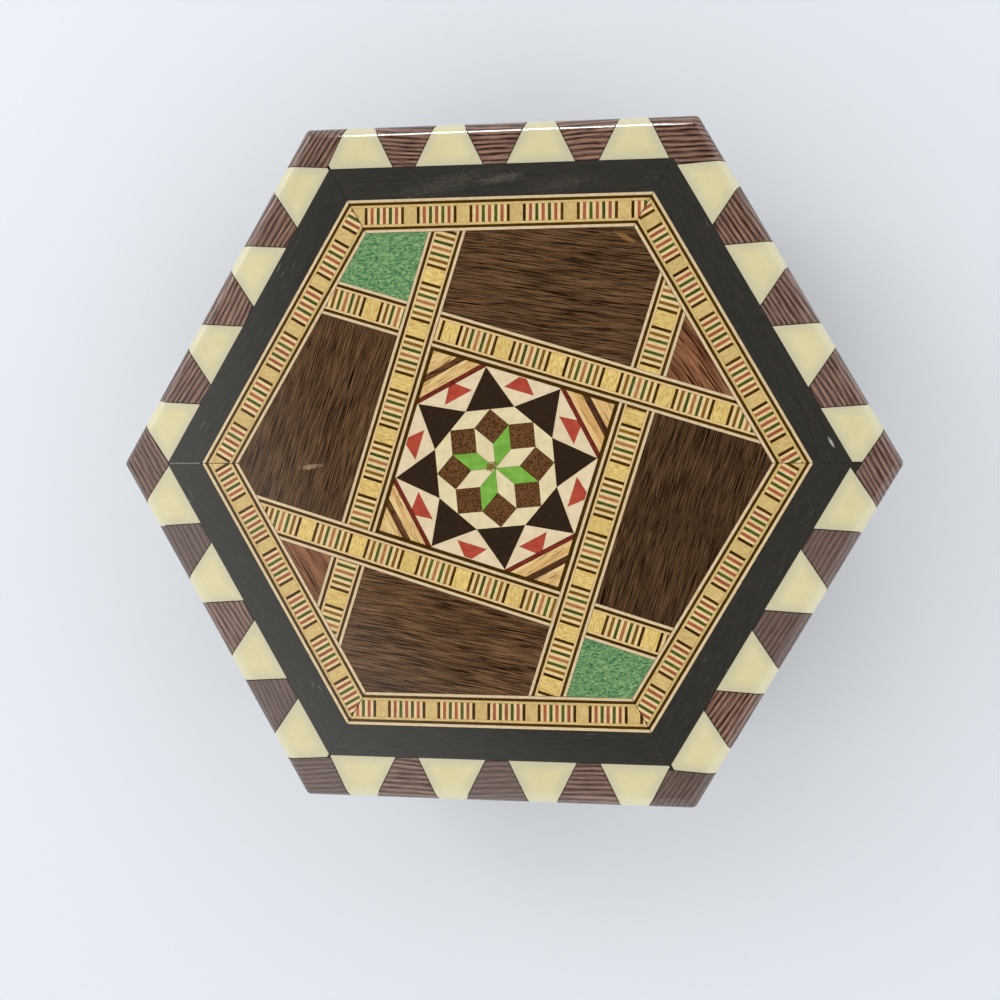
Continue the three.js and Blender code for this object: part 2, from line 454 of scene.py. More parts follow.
@dataclass(frozen=True)
class Finish:
    """A wood, resin or dye under clear gloss lacquer, which gives every surface its sharp shine.

    The span says at which values of the figure it is fully dark and fully light.
    """

    name: str
    light: str
    dark: str
    roughness: float = 0.5
    tone_range: float = 0.16
    bump: float = 0.0
    bump_depth: float = 0.1
    coat_roughness: float = 0.045
    from_object: bool = False
    flaws: tuple[Flaw, ...] = ()

    def paint(self, tree: Nodes, grain: Socket) -> tuple[Socket, Socket]:
        """Builds the pattern.

        Args:
            tree: The material's node tree.
            grain: Place in millimetres, with x along the grain.

        Returns:
            The colour, and the height that bump reads.
        """
        raise NotImplementedError

    def grain_place(self, tree: Nodes, slip: Socket) -> Socket:
        """Where a point lies in the wood: on the object, or in its own slip, far from the next one.

        Args:
            tree: The material's node tree.
            slip: The slip's own random vector.

        Returns:
            The place in millimetres, with x along the grain.
        """
        if self.from_object:
            place = add_node(tree, "ShaderNodeTexCoord").outputs["Object"]
            scaled = add_node(tree, "ShaderNodeMapping", {"Vector": place, "Scale": (1 / MM, 1 / MM, 1 / MM)})
            return scaled.outputs["Vector"]
        place = add_node(tree, "ShaderNodeAttribute", attribute_name="grain").outputs["Vector"]
        spread = add_node(tree, "ShaderNodeVectorMath", {0: slip, 1: SLIP_SPREAD, 2: place},
                          operation="MULTIPLY_ADD")
        return spread.outputs["Vector"]

    def material(self) -> bpy.types.Material:
        """The finish's material, made on its first use.

        Returns:
            The material.
        """
        made = bpy.data.materials.get(self.name)
        if made:
            return made
        made = bpy.data.materials.new(self.name)
        made.use_nodes = True
        tree = made.node_tree
        tree.nodes.clear()
        slip = add_node(tree, "ShaderNodeAttribute", attribute_name="slip").outputs["Vector"]
        colour, height = self.paint(tree, self.grain_place(tree, slip))
        tone = add_node(tree, "ShaderNodeSeparateXYZ", {"Vector": slip}).outputs["X"]
        value = add_node(tree, "ShaderNodeMapRange",
                         {"Value": tone, "To Min": 1 - self.tone_range, "To Max": 1 + self.tone_range})
        toned = add_node(tree, "ShaderNodeHueSaturation", {"Color": colour, "Value": value.outputs["Result"]})
        base = toned.outputs["Color"]
        for flaw in self.flaws:
            base = flaw.lay(tree, base)
        shader = add_node(tree, "ShaderNodeBsdfPrincipled", {
            "Base Color": base, "Roughness": self.roughness, "IOR": LACQUER_IOR,
            "Specular IOR Level": 0.0, "Coat Weight": 1.0, "Coat Roughness": self.coat_roughness,
            "Coat IOR": LACQUER_IOR})
        if self.bump > 0:
            relief = add_node(tree, "ShaderNodeBump", {
                "Height": height, "Strength": self.bump, "Distance": self.bump_depth * MM})
            tree.links.new(relief.outputs["Normal"], shader.inputs["Normal"])
        add_node(tree, "ShaderNodeOutputMaterial", {"Surface": shader.outputs["BSDF"]})
        return made


@dataclass(frozen=True)
class Timber(Finish):
    """Open-grained veneer: fine light and dark lines along the grain over broader, softer streaks.

    Lengths, widths and the wander of the grain are in millimetres.
    """

    pore: str = "#1c120b"
    streak_length: float = 22.0
    streak_width: float = 1.6
    line_length: float = 5.0
    line_width: float = 0.24
    line_share: float = 0.0
    pore_length: float = 2.4
    pore_width: float = 0.34
    pore_level: float = 0.55
    pore_edge: float = 0.09
    pore_strength: float = 0.8
    wander: float = 3.2
    bends_per_mm: float = 0.07
    span: Point = (0.36, 0.64)

    def paint(self, tree: Nodes, grain: Socket) -> tuple[Socket, Socket]:
        """Builds streaks, lines and pores, all bent together.

        Args:
            tree: The material's node tree.
            grain: Place in millimetres, with x along the grain.

        Returns:
            The colour, and the height that bump reads.
        """
        bend = add_node(tree, "ShaderNodeTexNoise", {
            "Vector": grain, "Scale": self.bends_per_mm, "Detail": 1.0})
        bent = add_node(tree, "ShaderNodeVectorMath", {
            0: bend.outputs["Color"], 1: (0, self.wander, 0), 2: grain},
            operation="MULTIPLY_ADD").outputs["Vector"]
        streaks = drawn_out_noise(tree, bent, 1 / self.streak_length, 1 / self.streak_width, 4.0)
        lines = drawn_out_noise(tree, bent, 1 / self.line_length, 1 / self.line_width, 1.5)
        blend = add_node(tree, "ShaderNodeMix", {"Factor": self.line_share, "A": streaks, "B": lines})
        wood = add_node(tree, "ShaderNodeValToRGB", {"Fac": blend.outputs["Result"]},
                        stops=((self.span[0], self.dark), (self.span[1], self.light)))
        pores = drawn_out_noise(tree, bent, 1 / self.pore_length, 1 / self.pore_width, 1.5)
        open_part = add_node(tree, "ShaderNodeMapRange", {
            "Value": pores, "From Min": self.pore_level, "From Max": self.pore_level + self.pore_edge,
            "To Max": self.pore_strength})
        mixed = add_node(tree, "ShaderNodeMix", {
            "Factor": open_part.outputs["Result"], "A": wood.outputs["Color"], "B": linear(self.pore)},
            data_type="RGBA")
        depth = add_node(tree, "ShaderNodeMath", {
            0: blend.outputs["Result"], 1: open_part.outputs["Result"]}, operation="SUBTRACT")
        return mixed.outputs["Result"], depth.outputs["Value"]


@dataclass(frozen=True)
class StripedTimber(Finish):
    """Quarter-sawn rosewood: even dark lines along the grain with brighter figure between them."""

    middle: str = "#6b4a48"
    line_pitch: float = 0.98
    line_weight: float = 0.18
    sway: float = 12.0
    sways_per_mm: Point = (0.04, 0.2)
    flecks_per_mm: Point = (0.25, 3.4)
    span: Point = (0.26, 0.78)
    middle_at: float = 0.5

    def paint(self, tree: Nodes, grain: Socket) -> tuple[Socket, Socket]:
        """Builds the lines, which sway a little, and the fleck between them.

        Args:
            tree: The material's node tree.
            grain: Place in millimetres, with x along the grain.

        Returns:
            The colour, and the height that bump reads.
        """
        sway = drawn_out_noise(tree, grain, *self.sways_per_mm, detail=2.0, roughness=0.5)
        across = add_node(tree, "ShaderNodeSeparateXYZ", {"Vector": grain}).outputs["Y"]
        cycle = add_node(tree, "ShaderNodeMath", {0: across, 1: 2 * math.pi / self.line_pitch},
                         operation="MULTIPLY")
        phase = add_node(tree, "ShaderNodeMath", {0: sway, 1: self.sway, 2: cycle.outputs["Value"]},
                         operation="MULTIPLY_ADD")
        wave = add_node(tree, "ShaderNodeMath", {0: phase.outputs["Value"]}, operation="SINE")
        fleck = drawn_out_noise(tree, grain, *self.flecks_per_mm)
        mixed = add_node(tree, "ShaderNodeMath", {0: wave.outputs["Value"], 1: self.line_weight, 2: fleck},
                         operation="MULTIPLY_ADD").outputs["Value"]
        wood = add_node(tree, "ShaderNodeValToRGB", {"Fac": mixed},
                        stops=((self.span[0], self.dark), (self.middle_at, self.middle),
                               (self.span[1], self.light)))
        return wood.outputs["Color"], mixed


@dataclass(frozen=True)
class CloseTimber(Finish):
    """Fine-pored wood such as box, holly or dyed pear: an even ground with faint fleck."""

    fleck_length: float = 1.1
    fleck_width: float = 0.24
    span: Point = (0.33, 0.62)

    def paint(self, tree: Nodes, grain: Socket) -> tuple[Socket, Socket]:
        """Builds the fleck.

        Args:
            tree: The material's node tree.
            grain: Place in millimetres, with x along the grain.

        Returns:
            The colour, and the height that bump reads.
        """
        fleck = drawn_out_noise(tree, grain, 1 / self.fleck_length, 1 / self.fleck_width)
        wood = add_node(tree, "ShaderNodeValToRGB", {"Fac": fleck},
                        stops=((self.span[0], self.dark), (self.span[1], self.light)))
        return wood.outputs["Color"], fleck


@dataclass(frozen=True)
class ScratchedBlack(Finish):
    """Ebonised wood: near black, with hairline scratches that catch a little light.

    The scratch levels are what the scratches' noise has to pass outside the patches and in them.
    """

    scratch: str = "#6d6a62"
    scratches_per_mm: Point = (0.32, 3.4)
    scratch_slant: float = 0.12
    scratch_bend: float = 0.8
    scratch_levels: Point = (0.78, 0.66)
    scratch_edge: float = 0.05
    scratch_strength: float = 0.7
    flecks_per_mm: Point = (0.3, 2.2)
    patches_per_mm: float = 0.09
    patch_span: Point = (0.4, 0.7)
    span: Point = (0.3, 0.7)

    def paint(self, tree: Nodes, grain: Socket) -> tuple[Socket, Socket]:
        """Builds the faint figure and the scratches, which come in patches.

        Args:
            tree: The material's node tree.
            grain: Place in millimetres, with x along the grain.

        Returns:
            The colour, and the height that bump reads.
        """
        fleck = drawn_out_noise(tree, grain, *self.flecks_per_mm, roughness=0.5)
        wood = add_node(tree, "ShaderNodeValToRGB", {"Fac": fleck},
                        stops=((self.span[0], self.dark), (self.span[1], self.light)))
        along, across = self.scratches_per_mm
        slanted = add_node(tree, "ShaderNodeMapping", {
            "Vector": grain, "Scale": (along, across, across), "Rotation": (0, 0, self.scratch_slant)})
        hairs = add_node(tree, "ShaderNodeTexNoise", {
            "Vector": slanted.outputs["Vector"], "Scale": 1.0, "Detail": 2.0,
            "Distortion": self.scratch_bend})
        patch = add_node(tree, "ShaderNodeTexNoise", {
            "Vector": grain, "Scale": self.patches_per_mm, "Detail": 1.0})
        level = add_node(tree, "ShaderNodeMapRange", {
            "Value": patch.outputs["Fac"], "From Min": self.patch_span[0], "From Max": self.patch_span[1],
            "To Min": self.scratch_levels[0], "To Max": self.scratch_levels[1]})
        over = add_node(tree, "ShaderNodeMath", {0: hairs.outputs["Fac"], 1: level.outputs["Result"]},
                        operation="SUBTRACT")
        amount = add_node(tree, "ShaderNodeMapRange", {
            "Value": over.outputs["Value"], "From Max": self.scratch_edge, "To Max": self.scratch_strength})
        mixed = add_node(tree, "ShaderNodeMix", {
            "Factor": amount.outputs["Result"], "A": wood.outputs["Color"], "B": linear(self.scratch)},
            data_type="RGBA")
        return mixed.outputs["Result"], fleck


@dataclass(frozen=True)
class Resin(Finish):
    """Cast resin: smooth and faintly clouded, with no grain."""

    cloud: float = 3.5
    span: Point = (0.36, 0.62)

    def paint(self, tree: Nodes, grain: Socket) -> tuple[Socket, Socket]:
        """Builds the clouding.

        Args:
            tree: The material's node tree.
            grain: Place in millimetres.

        Returns:
            The colour, and the height that bump reads.
        """
        cloud = add_node(tree, "ShaderNodeTexNoise", {
            "Vector": grain, "Scale": 1 / self.cloud, "Detail": 3.0, "Roughness": 0.55}).outputs["Fac"]
        body = add_node(tree, "ShaderNodeValToRGB", {"Fac": cloud},
                        stops=((self.span[0], self.dark), (self.span[1], self.light)))
        return body.outputs["Color"], cloud


@dataclass(frozen=True)
class RimmedResinWithSheen(Resin):
    """The wedges' resin: greyer along its edges, and paler and duller at its outer end over the rounded
    arris, where the paler colour is a painted highlight.
    """

    edge: str = "#c6c0a3"
    # The outer end's paler colour and where it fades in: a painted highlight on the arris.
    end: str = "#d8d2b0"
    sheen_start: float = 64.3
    sheen_stop: float = 67.0

    def paint(self, tree: Nodes, grain: Socket) -> tuple[Socket, Socket]:
        """Builds the clouding, then the edges and the painted highlight at the outer end.

        Args:
            tree: The material's node tree.
            grain: Place in millimetres.

        Returns:
            The colour, and the height that bump reads.
        """
        body, cloud = super().paint(tree, grain)
        rim = add_node(tree, "ShaderNodeAttribute", attribute_name="rim").outputs["Fac"]
        framed = add_node(tree, "ShaderNodeMix", {"Factor": rim, "A": body, "B": linear(self.edge)},
                          data_type="RGBA")
        # Towards the outer end the colour is mixed paler: a painted highlight over the arris.
        place = add_node(tree, "ShaderNodeAttribute", attribute_name="grain").outputs["Vector"]
        outward = add_node(tree, "ShaderNodeSeparateXYZ", {"Vector": place}).outputs["Y"]
        amount = add_node(tree, "ShaderNodeMapRange", {
            "Value": outward, "From Min": self.sheen_start, "From Max": self.sheen_stop})
        mixed = add_node(tree, "ShaderNodeMix", {
            "Factor": amount.outputs["Result"], "A": framed.outputs["Result"], "B": linear(self.end)},
            data_type="RGBA")
        return mixed.outputs["Result"], cloud


@dataclass(frozen=True)
class EndGrain(Finish):
    """Walnut cut across the grain: open pores show as dark dots."""

    dot: float = 0.36
    span: Point = (0.2, 0.6)

    def paint(self, tree: Nodes, grain: Socket) -> tuple[Socket, Socket]:
        """Builds the dots.

        Args:
            tree: The material's node tree.
            grain: Place in millimetres.

        Returns:
            The colour, and the height that bump reads.
        """
        cells = add_node(tree, "ShaderNodeTexVoronoi", {
            "Vector": grain, "Scale": 1 / self.dot, "Randomness": 1.0}).outputs["Distance"]
        wood = add_node(tree, "ShaderNodeValToRGB", {"Fac": cells},
                        stops=((self.span[0], self.dark), (self.span[1], self.light)))
        return wood.outputs["Color"], cells


@dataclass(frozen=True)
class RippleWithPaintedSheen(Finish):
    """Dyed veneer with a pebbly ripple: its colour is painted lighter on the crests and darker in the hollows
    between them, a painted sheen and shade over the veneer's own figure.
    """

    ripple_length: float = 0.65
    ripple_width: float = 0.32
    ripple_bend: float = 0.7
    span: Point = (0.36, 0.66)

    def paint(self, tree: Nodes, grain: Socket) -> tuple[Socket, Socket]:
        """Builds the ripple, whose light and dark are partly painted sheen and shade.

        Args:
            tree: The material's node tree.
            grain: Place in millimetres, with x along the grain.

        Returns:
            The colour, and the height that bump reads.
        """
        ripple = drawn_out_noise(tree, grain, 1 / self.ripple_length, 1 / self.ripple_width, 2.5,
                                 roughness=0.5, distortion=self.ripple_bend)
        # The ripple that bump raises also paints the crests lighter and the hollows darker: painted sheen and
        # shade.
        wood = add_node(tree, "ShaderNodeValToRGB", {"Fac": ripple},
                        stops=((self.span[0], self.dark), (self.span[1], self.light)))
        return wood.outputs["Color"], ripple


# The brown, fibrous mend in the middle of the star.
FIBROUS_FILLER = Flaw((-1.2, -0.6), (1.5, 0.95), 20, "#77592c", 0.9, 1.0, 2.4)

# Open-pored walnut, sliced: dark brown with near-black dashes, which keep it dull under its gloss.
# It has a dry nick in the left panel and a paler sliver at the upper end of the back one.
WALNUT = Timber(
    "walnut_veneer", "#7e5e41", "#1a0a02", pore="#120600", bump=0.3, tone_range=0.38, line_share=0.85,
    line_length=7.0, line_width=0.17, pore_length=4.5, pore_width=0.17, pore_level=0.56,
    pore_strength=0.85, streak_width=2.6, wander=1.0, flaws=(
        Flaw((-37.9, -0.7), (2.4, 0.5), 5, "#a88c70", 0.7, 1.6, 2.6),
        Flaw((25.2, 43.9), (2.7, 0.6), -30, "#946c3c", 0.7, 0.8, 1.5)))

# Mahogany, sliced: warm red brown with long dark pores, the only reddish wood of the lid.
MAHOGANY = Timber(
    "mahogany_veneer", "#9e6d4b", "#552e1d", pore="#200902", pore_width=0.34, pore_length=9.0,
    pore_level=0.53, pore_strength=0.9, streak_width=1.8, line_share=0.5, wander=1.6, tone_range=0.03)

# Plain sawn hardwood, thinly varnished: a softer shine and no figure to look at.
CARCASS = Timber("plain_hardwood", "#83603f", "#6a492e", pore="#432b18", roughness=0.6, tone_range=0.05,
                 coat_roughness=0.12, from_object=True)
WALL_CORE = Timber("wall_hardwood", "#83603f", "#6a492e", pore="#432b18", roughness=0.6, tone_range=0.05,
                   coat_roughness=0.12)

# The medallion's corner stripes: boxwood with short dark pores between stripes of stained walnut.
STRIPED_BOX = Timber(
    "striped_boxwood", "#e8c98e", "#cfa063", pore="#4a2c10", pore_width=0.22, pore_length=3.2,
    pore_level=0.58, pore_strength=0.75, streak_width=0.9, wander=2.4, tone_range=0.04)
BROWN_STRIPE = Timber("brown_stripe", "#6b452b", "#4c2f1c", pore_length=3.0, tone_range=0.08)

# Quarter-sawn rosewood: purplish brown with even dark lines, from bold to hardly seen.
ROSEWOOD = StripedTimber("striped_rosewood", "#9e7c69", "#2c1e19", middle="#6c5146", tone_range=0.1)
MILD_ROSEWOOD = StripedTimber("mild_rosewood", "#947869", "#3c2c27", middle="#6b534a", tone_range=0.12)
PLAIN_ROSEWOOD = StripedTimber("plain_rosewood", "#7a665e", "#50423d", middle="#66524c", tone_range=0.12)

# Boxwood, sliced: clear yellow between the bars, a little greyed in the frame.
BOXWOOD = CloseTimber("boxwood", "#e8cd82", "#bf9650", tone_range=0.06)
FRAME_BOXWOOD = CloseTimber("greyed_boxwood", "#d6bc7e", "#be9b61", tone_range=0.06)

# Holly and undyed pear, sawn thin: the pale lines that draw every outline.
HOLLY = CloseTimber("holly_lines", "#e6cc9a", "#d8b67e", tone_range=0.05)
PALE_LINE = CloseTimber("pale_lines", "#dcc8a2", "#ccae82", tone_range=0.05)
GOLDEN_LINE = CloseTimber("golden_lines", "#e3c692", "#d1ab74", tone_range=0.05)

# Pear dyed through before it is glued up: flat colours that differ a little from bar to bar.
DARK_LINE = CloseTimber("dyed_dark_line", "#4c340b", "#352204", tone_range=0.12)
DARK_BAR = CloseTimber("dyed_dark_bar", "#50330e", "#341e06", tone_range=0.35)
RED_BAR = CloseTimber("dyed_red_bar", "#a85f42", "#8a462c", tone_range=0.18)
SALMON_BAR = CloseTimber("dyed_salmon_bar", "#af784c", "#975c34", tone_range=0.15)
GREEN_BAR = CloseTimber("dyed_green_bar", "#4e5c2a", "#384616", tone_range=0.25)
TAN_BAR = CloseTimber("dyed_tan_bar", "#876122", "#6a4612", tone_range=0.25)
DARK_RED = CloseTimber("dark_red_line", "#7c3226", "#551c16", tone_range=0.1)

# Ebonised pear, polished: a soft black that shows crackle along the back and a nick at the right.
EBONISED = ScratchedBlack("ebonised_pearwood", "#3a3732", "#302e2a", tone_range=0.06, flaws=(
    Flaw((-11.5, 55.2), (8.0, 1.6), 12, "#5a574e", 0.32, 2.2, 8.0),
    Flaw((0.5, 56.2), (4.0, 0.8), 8, "#6d6a60", 0.4, 2.2, 7.0),
    Flaw((12.4, 54.7), (5.5, 1.2), 6, "#57534a", 0.32, 2.2, 8.0),
    Flaw((64.2, 3.9), (1.3, 0.28), -61, "#b6b1a4", 0.9, 0.6, 1.5)))
BLACK = CloseTimber("black_inlay", "#35271b", "#2c1f16", tone_range=0.08)

# Cast polyester resin, sanded and polished: even cream, clouded, greyer where it meets the wood, and with a
# painted highlight at its outer end.
BONE = RimmedResinWithSheen("bone_resin", "#dbd1a3", "#d6cb9b", roughness=0.35, tone_range=0.025)

# Coloured resin inlay, cast and sanded flush: flat, bright and without any grain.
WHITE = Resin("white_inlay", "#e4d6ab", "#dacb9f", roughness=0.4, tone_range=0.02, cloud=2.0,
              flaws=(FIBROUS_FILLER,))
GROUND_WHITE = Resin("pinkish_white_inlay", "#e5d1ae", "#dbc7a2", roughness=0.4, tone_range=0.02, cloud=2.0)
BRIGHT_GREEN = Resin("bright_green_inlay", "#80b54b", "#6fa23f", tone_range=0.04, cloud=1.5,
                     flaws=(FIBROUS_FILLER,))
RED_INLAY = Resin("red_inlay", "#b34c38", "#a64132", tone_range=0.04, cloud=1.5)

# Walnut sawn across the grain: dark dots on mid brown.
BROWN_SQUARE = EndGrain("walnut_end_grain", "#6e4a2c", "#261609", tone_range=0.08)

# Green-dyed figured veneer, sliced: its ripple shows as small light and dark pebbles, partly its own figure
# and partly painted sheen and shade.
GREEN_VENEER = RippleWithPaintedSheen("green_dyed_veneer", "#8eae72", "#34694a", bump=0.3, tone_range=0.02)

# Hide glue and filler in the joints: the dark hairlines between slips, and one grey mitre.
GLUE = CloseTimber("dark_glue", "#2b1b10", "#1d120a", tone_range=0.0)
FILLER = CloseTimber("grey_filler", "#85827a", "#6a6760", tone_range=0.0)


class Figure(Enum):
    """How boldly a block of rosewood is striped."""

    BOLD = ROSEWOOD
    MILD = MILD_ROSEWOOD
    PLAIN = PLAIN_ROSEWOOD


# Trees that lay out what repeats


class Tree:
    """A Geometry Nodes tree that is run once on a mesh, and gives a plain mesh back."""

    def __init__(self, name: str, inputs: dict[str, str]) -> None:
        """Makes the tree and its named inputs.

        Args:
            name: The tree's name.
            inputs: Input name to socket type.
        """
        self.tree = bpy.data.node_groups.new(name, "GeometryNodeTree")
        self.tree.is_modifier = True
        self.sockets: dict[str, str] = {}
        self.tree.interface.new_socket("Geometry", in_out="INPUT", socket_type="NodeSocketGeometry")
        for label, kind in inputs.items():
            socket = self.tree.interface.new_socket(label, in_out="INPUT", socket_type=kind)
            self.sockets[label] = socket.identifier
        self.tree.interface.new_socket("Geometry", in_out="OUTPUT", socket_type="NodeSocketGeometry")
        self.given = add_node(self.tree, "NodeGroupInput").outputs

    def finish(self, geometry: Socket) -> None:
        """Ends the tree in real geometry with its finish set.

        Args:
            geometry: The real geometry.
        """
        dressed = add_node(self.tree, "GeometryNodeSetMaterial",
                           {"Geometry": geometry, "Material": self.given["Finish"]})
        add_node(self.tree, "NodeGroupOutput", {"Geometry": dressed.outputs["Geometry"]})

    @staticmethod
    def drawn(node: bpy.types.Node) -> Socket:
        """The output of a random value node that its type leaves in use."""
        return next(socket for socket in node.outputs if socket.enabled)

    def run(self, mesh: bpy.types.Mesh, **values: Any) -> bpy.types.Mesh:
        """Runs the tree.

        Args:
            mesh: The mesh that the tree is given.
            values: The tree's inputs, with underscores for spaces.

        Returns:
            A new plain mesh.
        """
        holder = bpy.data.objects.new("holder", mesh)
        bpy.context.scene.collection.objects.link(holder)
        modifier = holder.modifiers.new("layout", "NODES")
        modifier.node_group = self.tree
        for name, value in values.items():
            modifier[self.sockets[name.replace("_", " ")]] = value
        graph = bpy.context.evaluated_depsgraph_get()
        result = bpy.data.meshes.new_from_object(
            holder.evaluated_get(graph), preserve_all_data_layers=True, depsgraph=graph)
        holder.modifiers.clear()
        bpy.data.objects.remove(holder)
        return result


class SlipRows(Tree):
    """Groups of equal slips, such as the bars of one colour in a mosaic band."""

    def __init__(self) -> None:
        """Builds the tree: two nested lines of points, with a slip on each."""
        super().__init__("slip_rows", {
            "Groups": "NodeSocketInt", "Group Pitch": "NodeSocketFloat", "Slips": "NodeSocketInt",
            "Slip Pitch": "NodeSocketFloat", "Start": "NodeSocketVector", "Size": "NodeSocketVector",
            "Wobble": "NodeSocketFloat", "Seed": "NodeSocketInt", "Finish": "NodeSocketMaterial"})
        tree, given = self.tree, self.given
        group_step = add_node(tree, "ShaderNodeCombineXYZ", {"X": given["Group Pitch"]})
        groups = add_node(tree, "GeometryNodeMeshLine", {
            "Count": given["Groups"], "Start Location": given["Start"],
            "Offset": group_step.outputs["Vector"]})
        slip_step = add_node(tree, "ShaderNodeCombineXYZ", {"X": given["Slip Pitch"]})
        slips = add_node(tree, "GeometryNodeMeshLine",
                         {"Count": given["Slips"], "Offset": slip_step.outputs["Vector"]})
        nested = add_node(tree, "GeometryNodeInstanceOnPoints",
                          {"Points": groups.outputs["Mesh"], "Instance": slips.outputs["Mesh"]})
        points = add_node(tree, "GeometryNodeRealizeInstances", {"Geometry": nested.outputs["Instances"]})
        slip = add_node(tree, "GeometryNodeMeshCube", {"Size": given["Size"]})
        place = add_node(tree, "ShaderNodeSeparateXYZ",
                         {"Vector": add_node(tree, "GeometryNodeInputPosition").outputs["Position"]})
        across = add_node(tree, "ShaderNodeCombineXYZ", {
            "X": place.outputs["Y"], "Y": place.outputs["X"], "Z": place.outputs["Z"]})
        in_mm = add_node(tree, "ShaderNodeVectorMath", {0: across.outputs["Vector"], "Scale": 1 / MM},
                         operation="SCALE")
        grained = add_node(tree, "GeometryNodeStoreNamedAttribute", {
            "Geometry": slip.outputs["Mesh"], "Name": "grain", "Value": in_mm.outputs["Vector"]},
            data_type="FLOAT_VECTOR", domain="POINT")
        low = add_node(tree, "ShaderNodeMath", {0: given["Wobble"], 1: -1.0}, operation="MULTIPLY")
        swing = add_node(tree, "FunctionNodeRandomValue", {
            "Min": low.outputs["Value"], "Max": given["Wobble"], "Seed": given["Seed"]}, data_type="FLOAT")
        turn = add_node(tree, "ShaderNodeCombineXYZ", {"Z": self.drawn(swing)})
        placed = add_node(tree, "GeometryNodeInstanceOnPoints", {
            "Points": points.outputs["Geometry"], "Instance": grained.outputs["Geometry"],
            "Rotation": turn.outputs["Vector"]})
        own = add_node(tree, "FunctionNodeRandomValue", {"Seed": given["Seed"]}, data_type="FLOAT_VECTOR")
        marked = add_node(tree, "GeometryNodeStoreNamedAttribute", {
            "Geometry": placed.outputs["Instances"], "Name": "slip", "Value": self.drawn(own)},
            data_type="FLOAT_VECTOR", domain="INSTANCE")
        real = add_node(tree, "GeometryNodeRealizeInstances", {"Geometry": marked.outputs["Geometry"]})
        self.finish(real.outputs["Geometry"])


class TurnedCopies(Tree):
    """Equal copies of a mesh about the vertical axis, each with its own tone."""

    def __init__(self) -> None:
        """Builds the tree: points on the axis, each with a turned copy."""
        super().__init__("turned_copies", {
            "Copies": "NodeSocketInt", "Seed": "NodeSocketInt", "Finish": "NodeSocketMaterial"})
        tree, given = self.tree, self.given
        line = add_node(tree, "GeometryNodeMeshLine", {"Count": given["Copies"], "Offset": (0, 0, 0)})
        index = add_node(tree, "GeometryNodeInputIndex").outputs["Index"]
        share = add_node(tree, "ShaderNodeMath", {0: index, 1: given["Copies"]}, operation="DIVIDE")
        angle = add_node(tree, "ShaderNodeMath", {0: share.outputs["Value"], 1: 2 * math.pi},
                         operation="MULTIPLY")
        turn = add_node(tree, "ShaderNodeCombineXYZ", {"Z": angle.outputs["Value"]})
        placed = add_node(tree, "GeometryNodeInstanceOnPoints", {
            "Points": line.outputs["Mesh"], "Instance": given["Geometry"],
            "Rotation": turn.outputs["Vector"]})
        own = add_node(tree, "FunctionNodeRandomValue", {"Seed": given["Seed"]}, data_type="FLOAT_VECTOR")
        marked = add_node(tree, "GeometryNodeStoreNamedAttribute", {
            "Geometry": placed.outputs["Instances"], "Name": "copy", "Value": self.drawn(own)},
            data_type="FLOAT_VECTOR", domain="INSTANCE")
        real = add_node(tree, "GeometryNodeRealizeInstances", {"Geometry": marked.outputs["Geometry"]})
        slip = add_node(tree, "GeometryNodeInputNamedAttribute", {"Name": "slip"}, data_type="FLOAT_VECTOR")
        copy = add_node(tree, "GeometryNodeInputNamedAttribute", {"Name": "copy"}, data_type="FLOAT_VECTOR")
        both = add_node(tree, "ShaderNodeVectorMath",
                        {0: slip.outputs["Attribute"], 1: copy.outputs["Attribute"]}, operation="ADD")
        mean = add_node(tree, "ShaderNodeVectorMath", {0: both.outputs["Vector"], "Scale": 0.5},
                        operation="SCALE")
        blended = add_node(tree, "GeometryNodeStoreNamedAttribute", {
            "Geometry": real.outputs["Geometry"], "Name": "slip", "Value": mean.outputs["Vector"]},
            data_type="FLOAT_VECTOR", domain="POINT")
        self.finish(blended.outputs["Geometry"])


# Pieces of inlay


@dataclass
class Part:
    """The mesh data of all the slips of one finish, in metres."""

    points: list[tuple[float, float, float]] = field(default_factory=list)
    faces: list[tuple[int, ...]] = field(default_factory=list)
    grain: list[tuple[float, float, float]] = field(default_factory=list)
    slip: list[tuple[float, float, float]] = field(default_factory=list)
    rim: list[float] = field(default_factory=list)

    def mesh(self, name: str) -> bpy.types.Mesh:
        """A mesh of this data, with its grain and slip attributes, and its rim where it has one.

        Args:
            name: The mesh's name.

        Returns:
            The mesh.
        """
        mesh = bpy.data.meshes.new(name)
        mesh.from_pydata(self.points, [], self.faces)
        for label, values in (("grain", self.grain), ("slip", self.slip)):
            layer = mesh.attributes.new(label, "FLOAT_VECTOR", "POINT")
            layer.data.foreach_set("vector", [v for row in values for v in row])
        if any(self.rim):
            mesh.attributes.new("rim", "FLOAT", "POINT").data.foreach_set("value", self.rim)
        mesh.update()
        return mesh

    def extend(self, mesh: bpy.types.Mesh, place: Matrix) -> None:
        """Adds a mesh's data, moved to its place.

        Args:
            mesh: A mesh with grain and slip attributes.
            place: Where it goes, in metres.
        """
        first = len(self.points)
        self.points += [tuple(place @ v.co) for v in mesh.vertices]
        self.faces += [tuple(first + i for i in p.vertices) for p in mesh.polygons]
        self.grain += [tuple(d.vector) for d in mesh.attributes["grain"].data]
        self.slip += [tuple(d.vector) for d in mesh.attributes["slip"].data]
        rim = mesh.attributes.get("rim")
        self.rim += [d.value for d in rim.data] if rim else [0.0] * len(mesh.vertices)


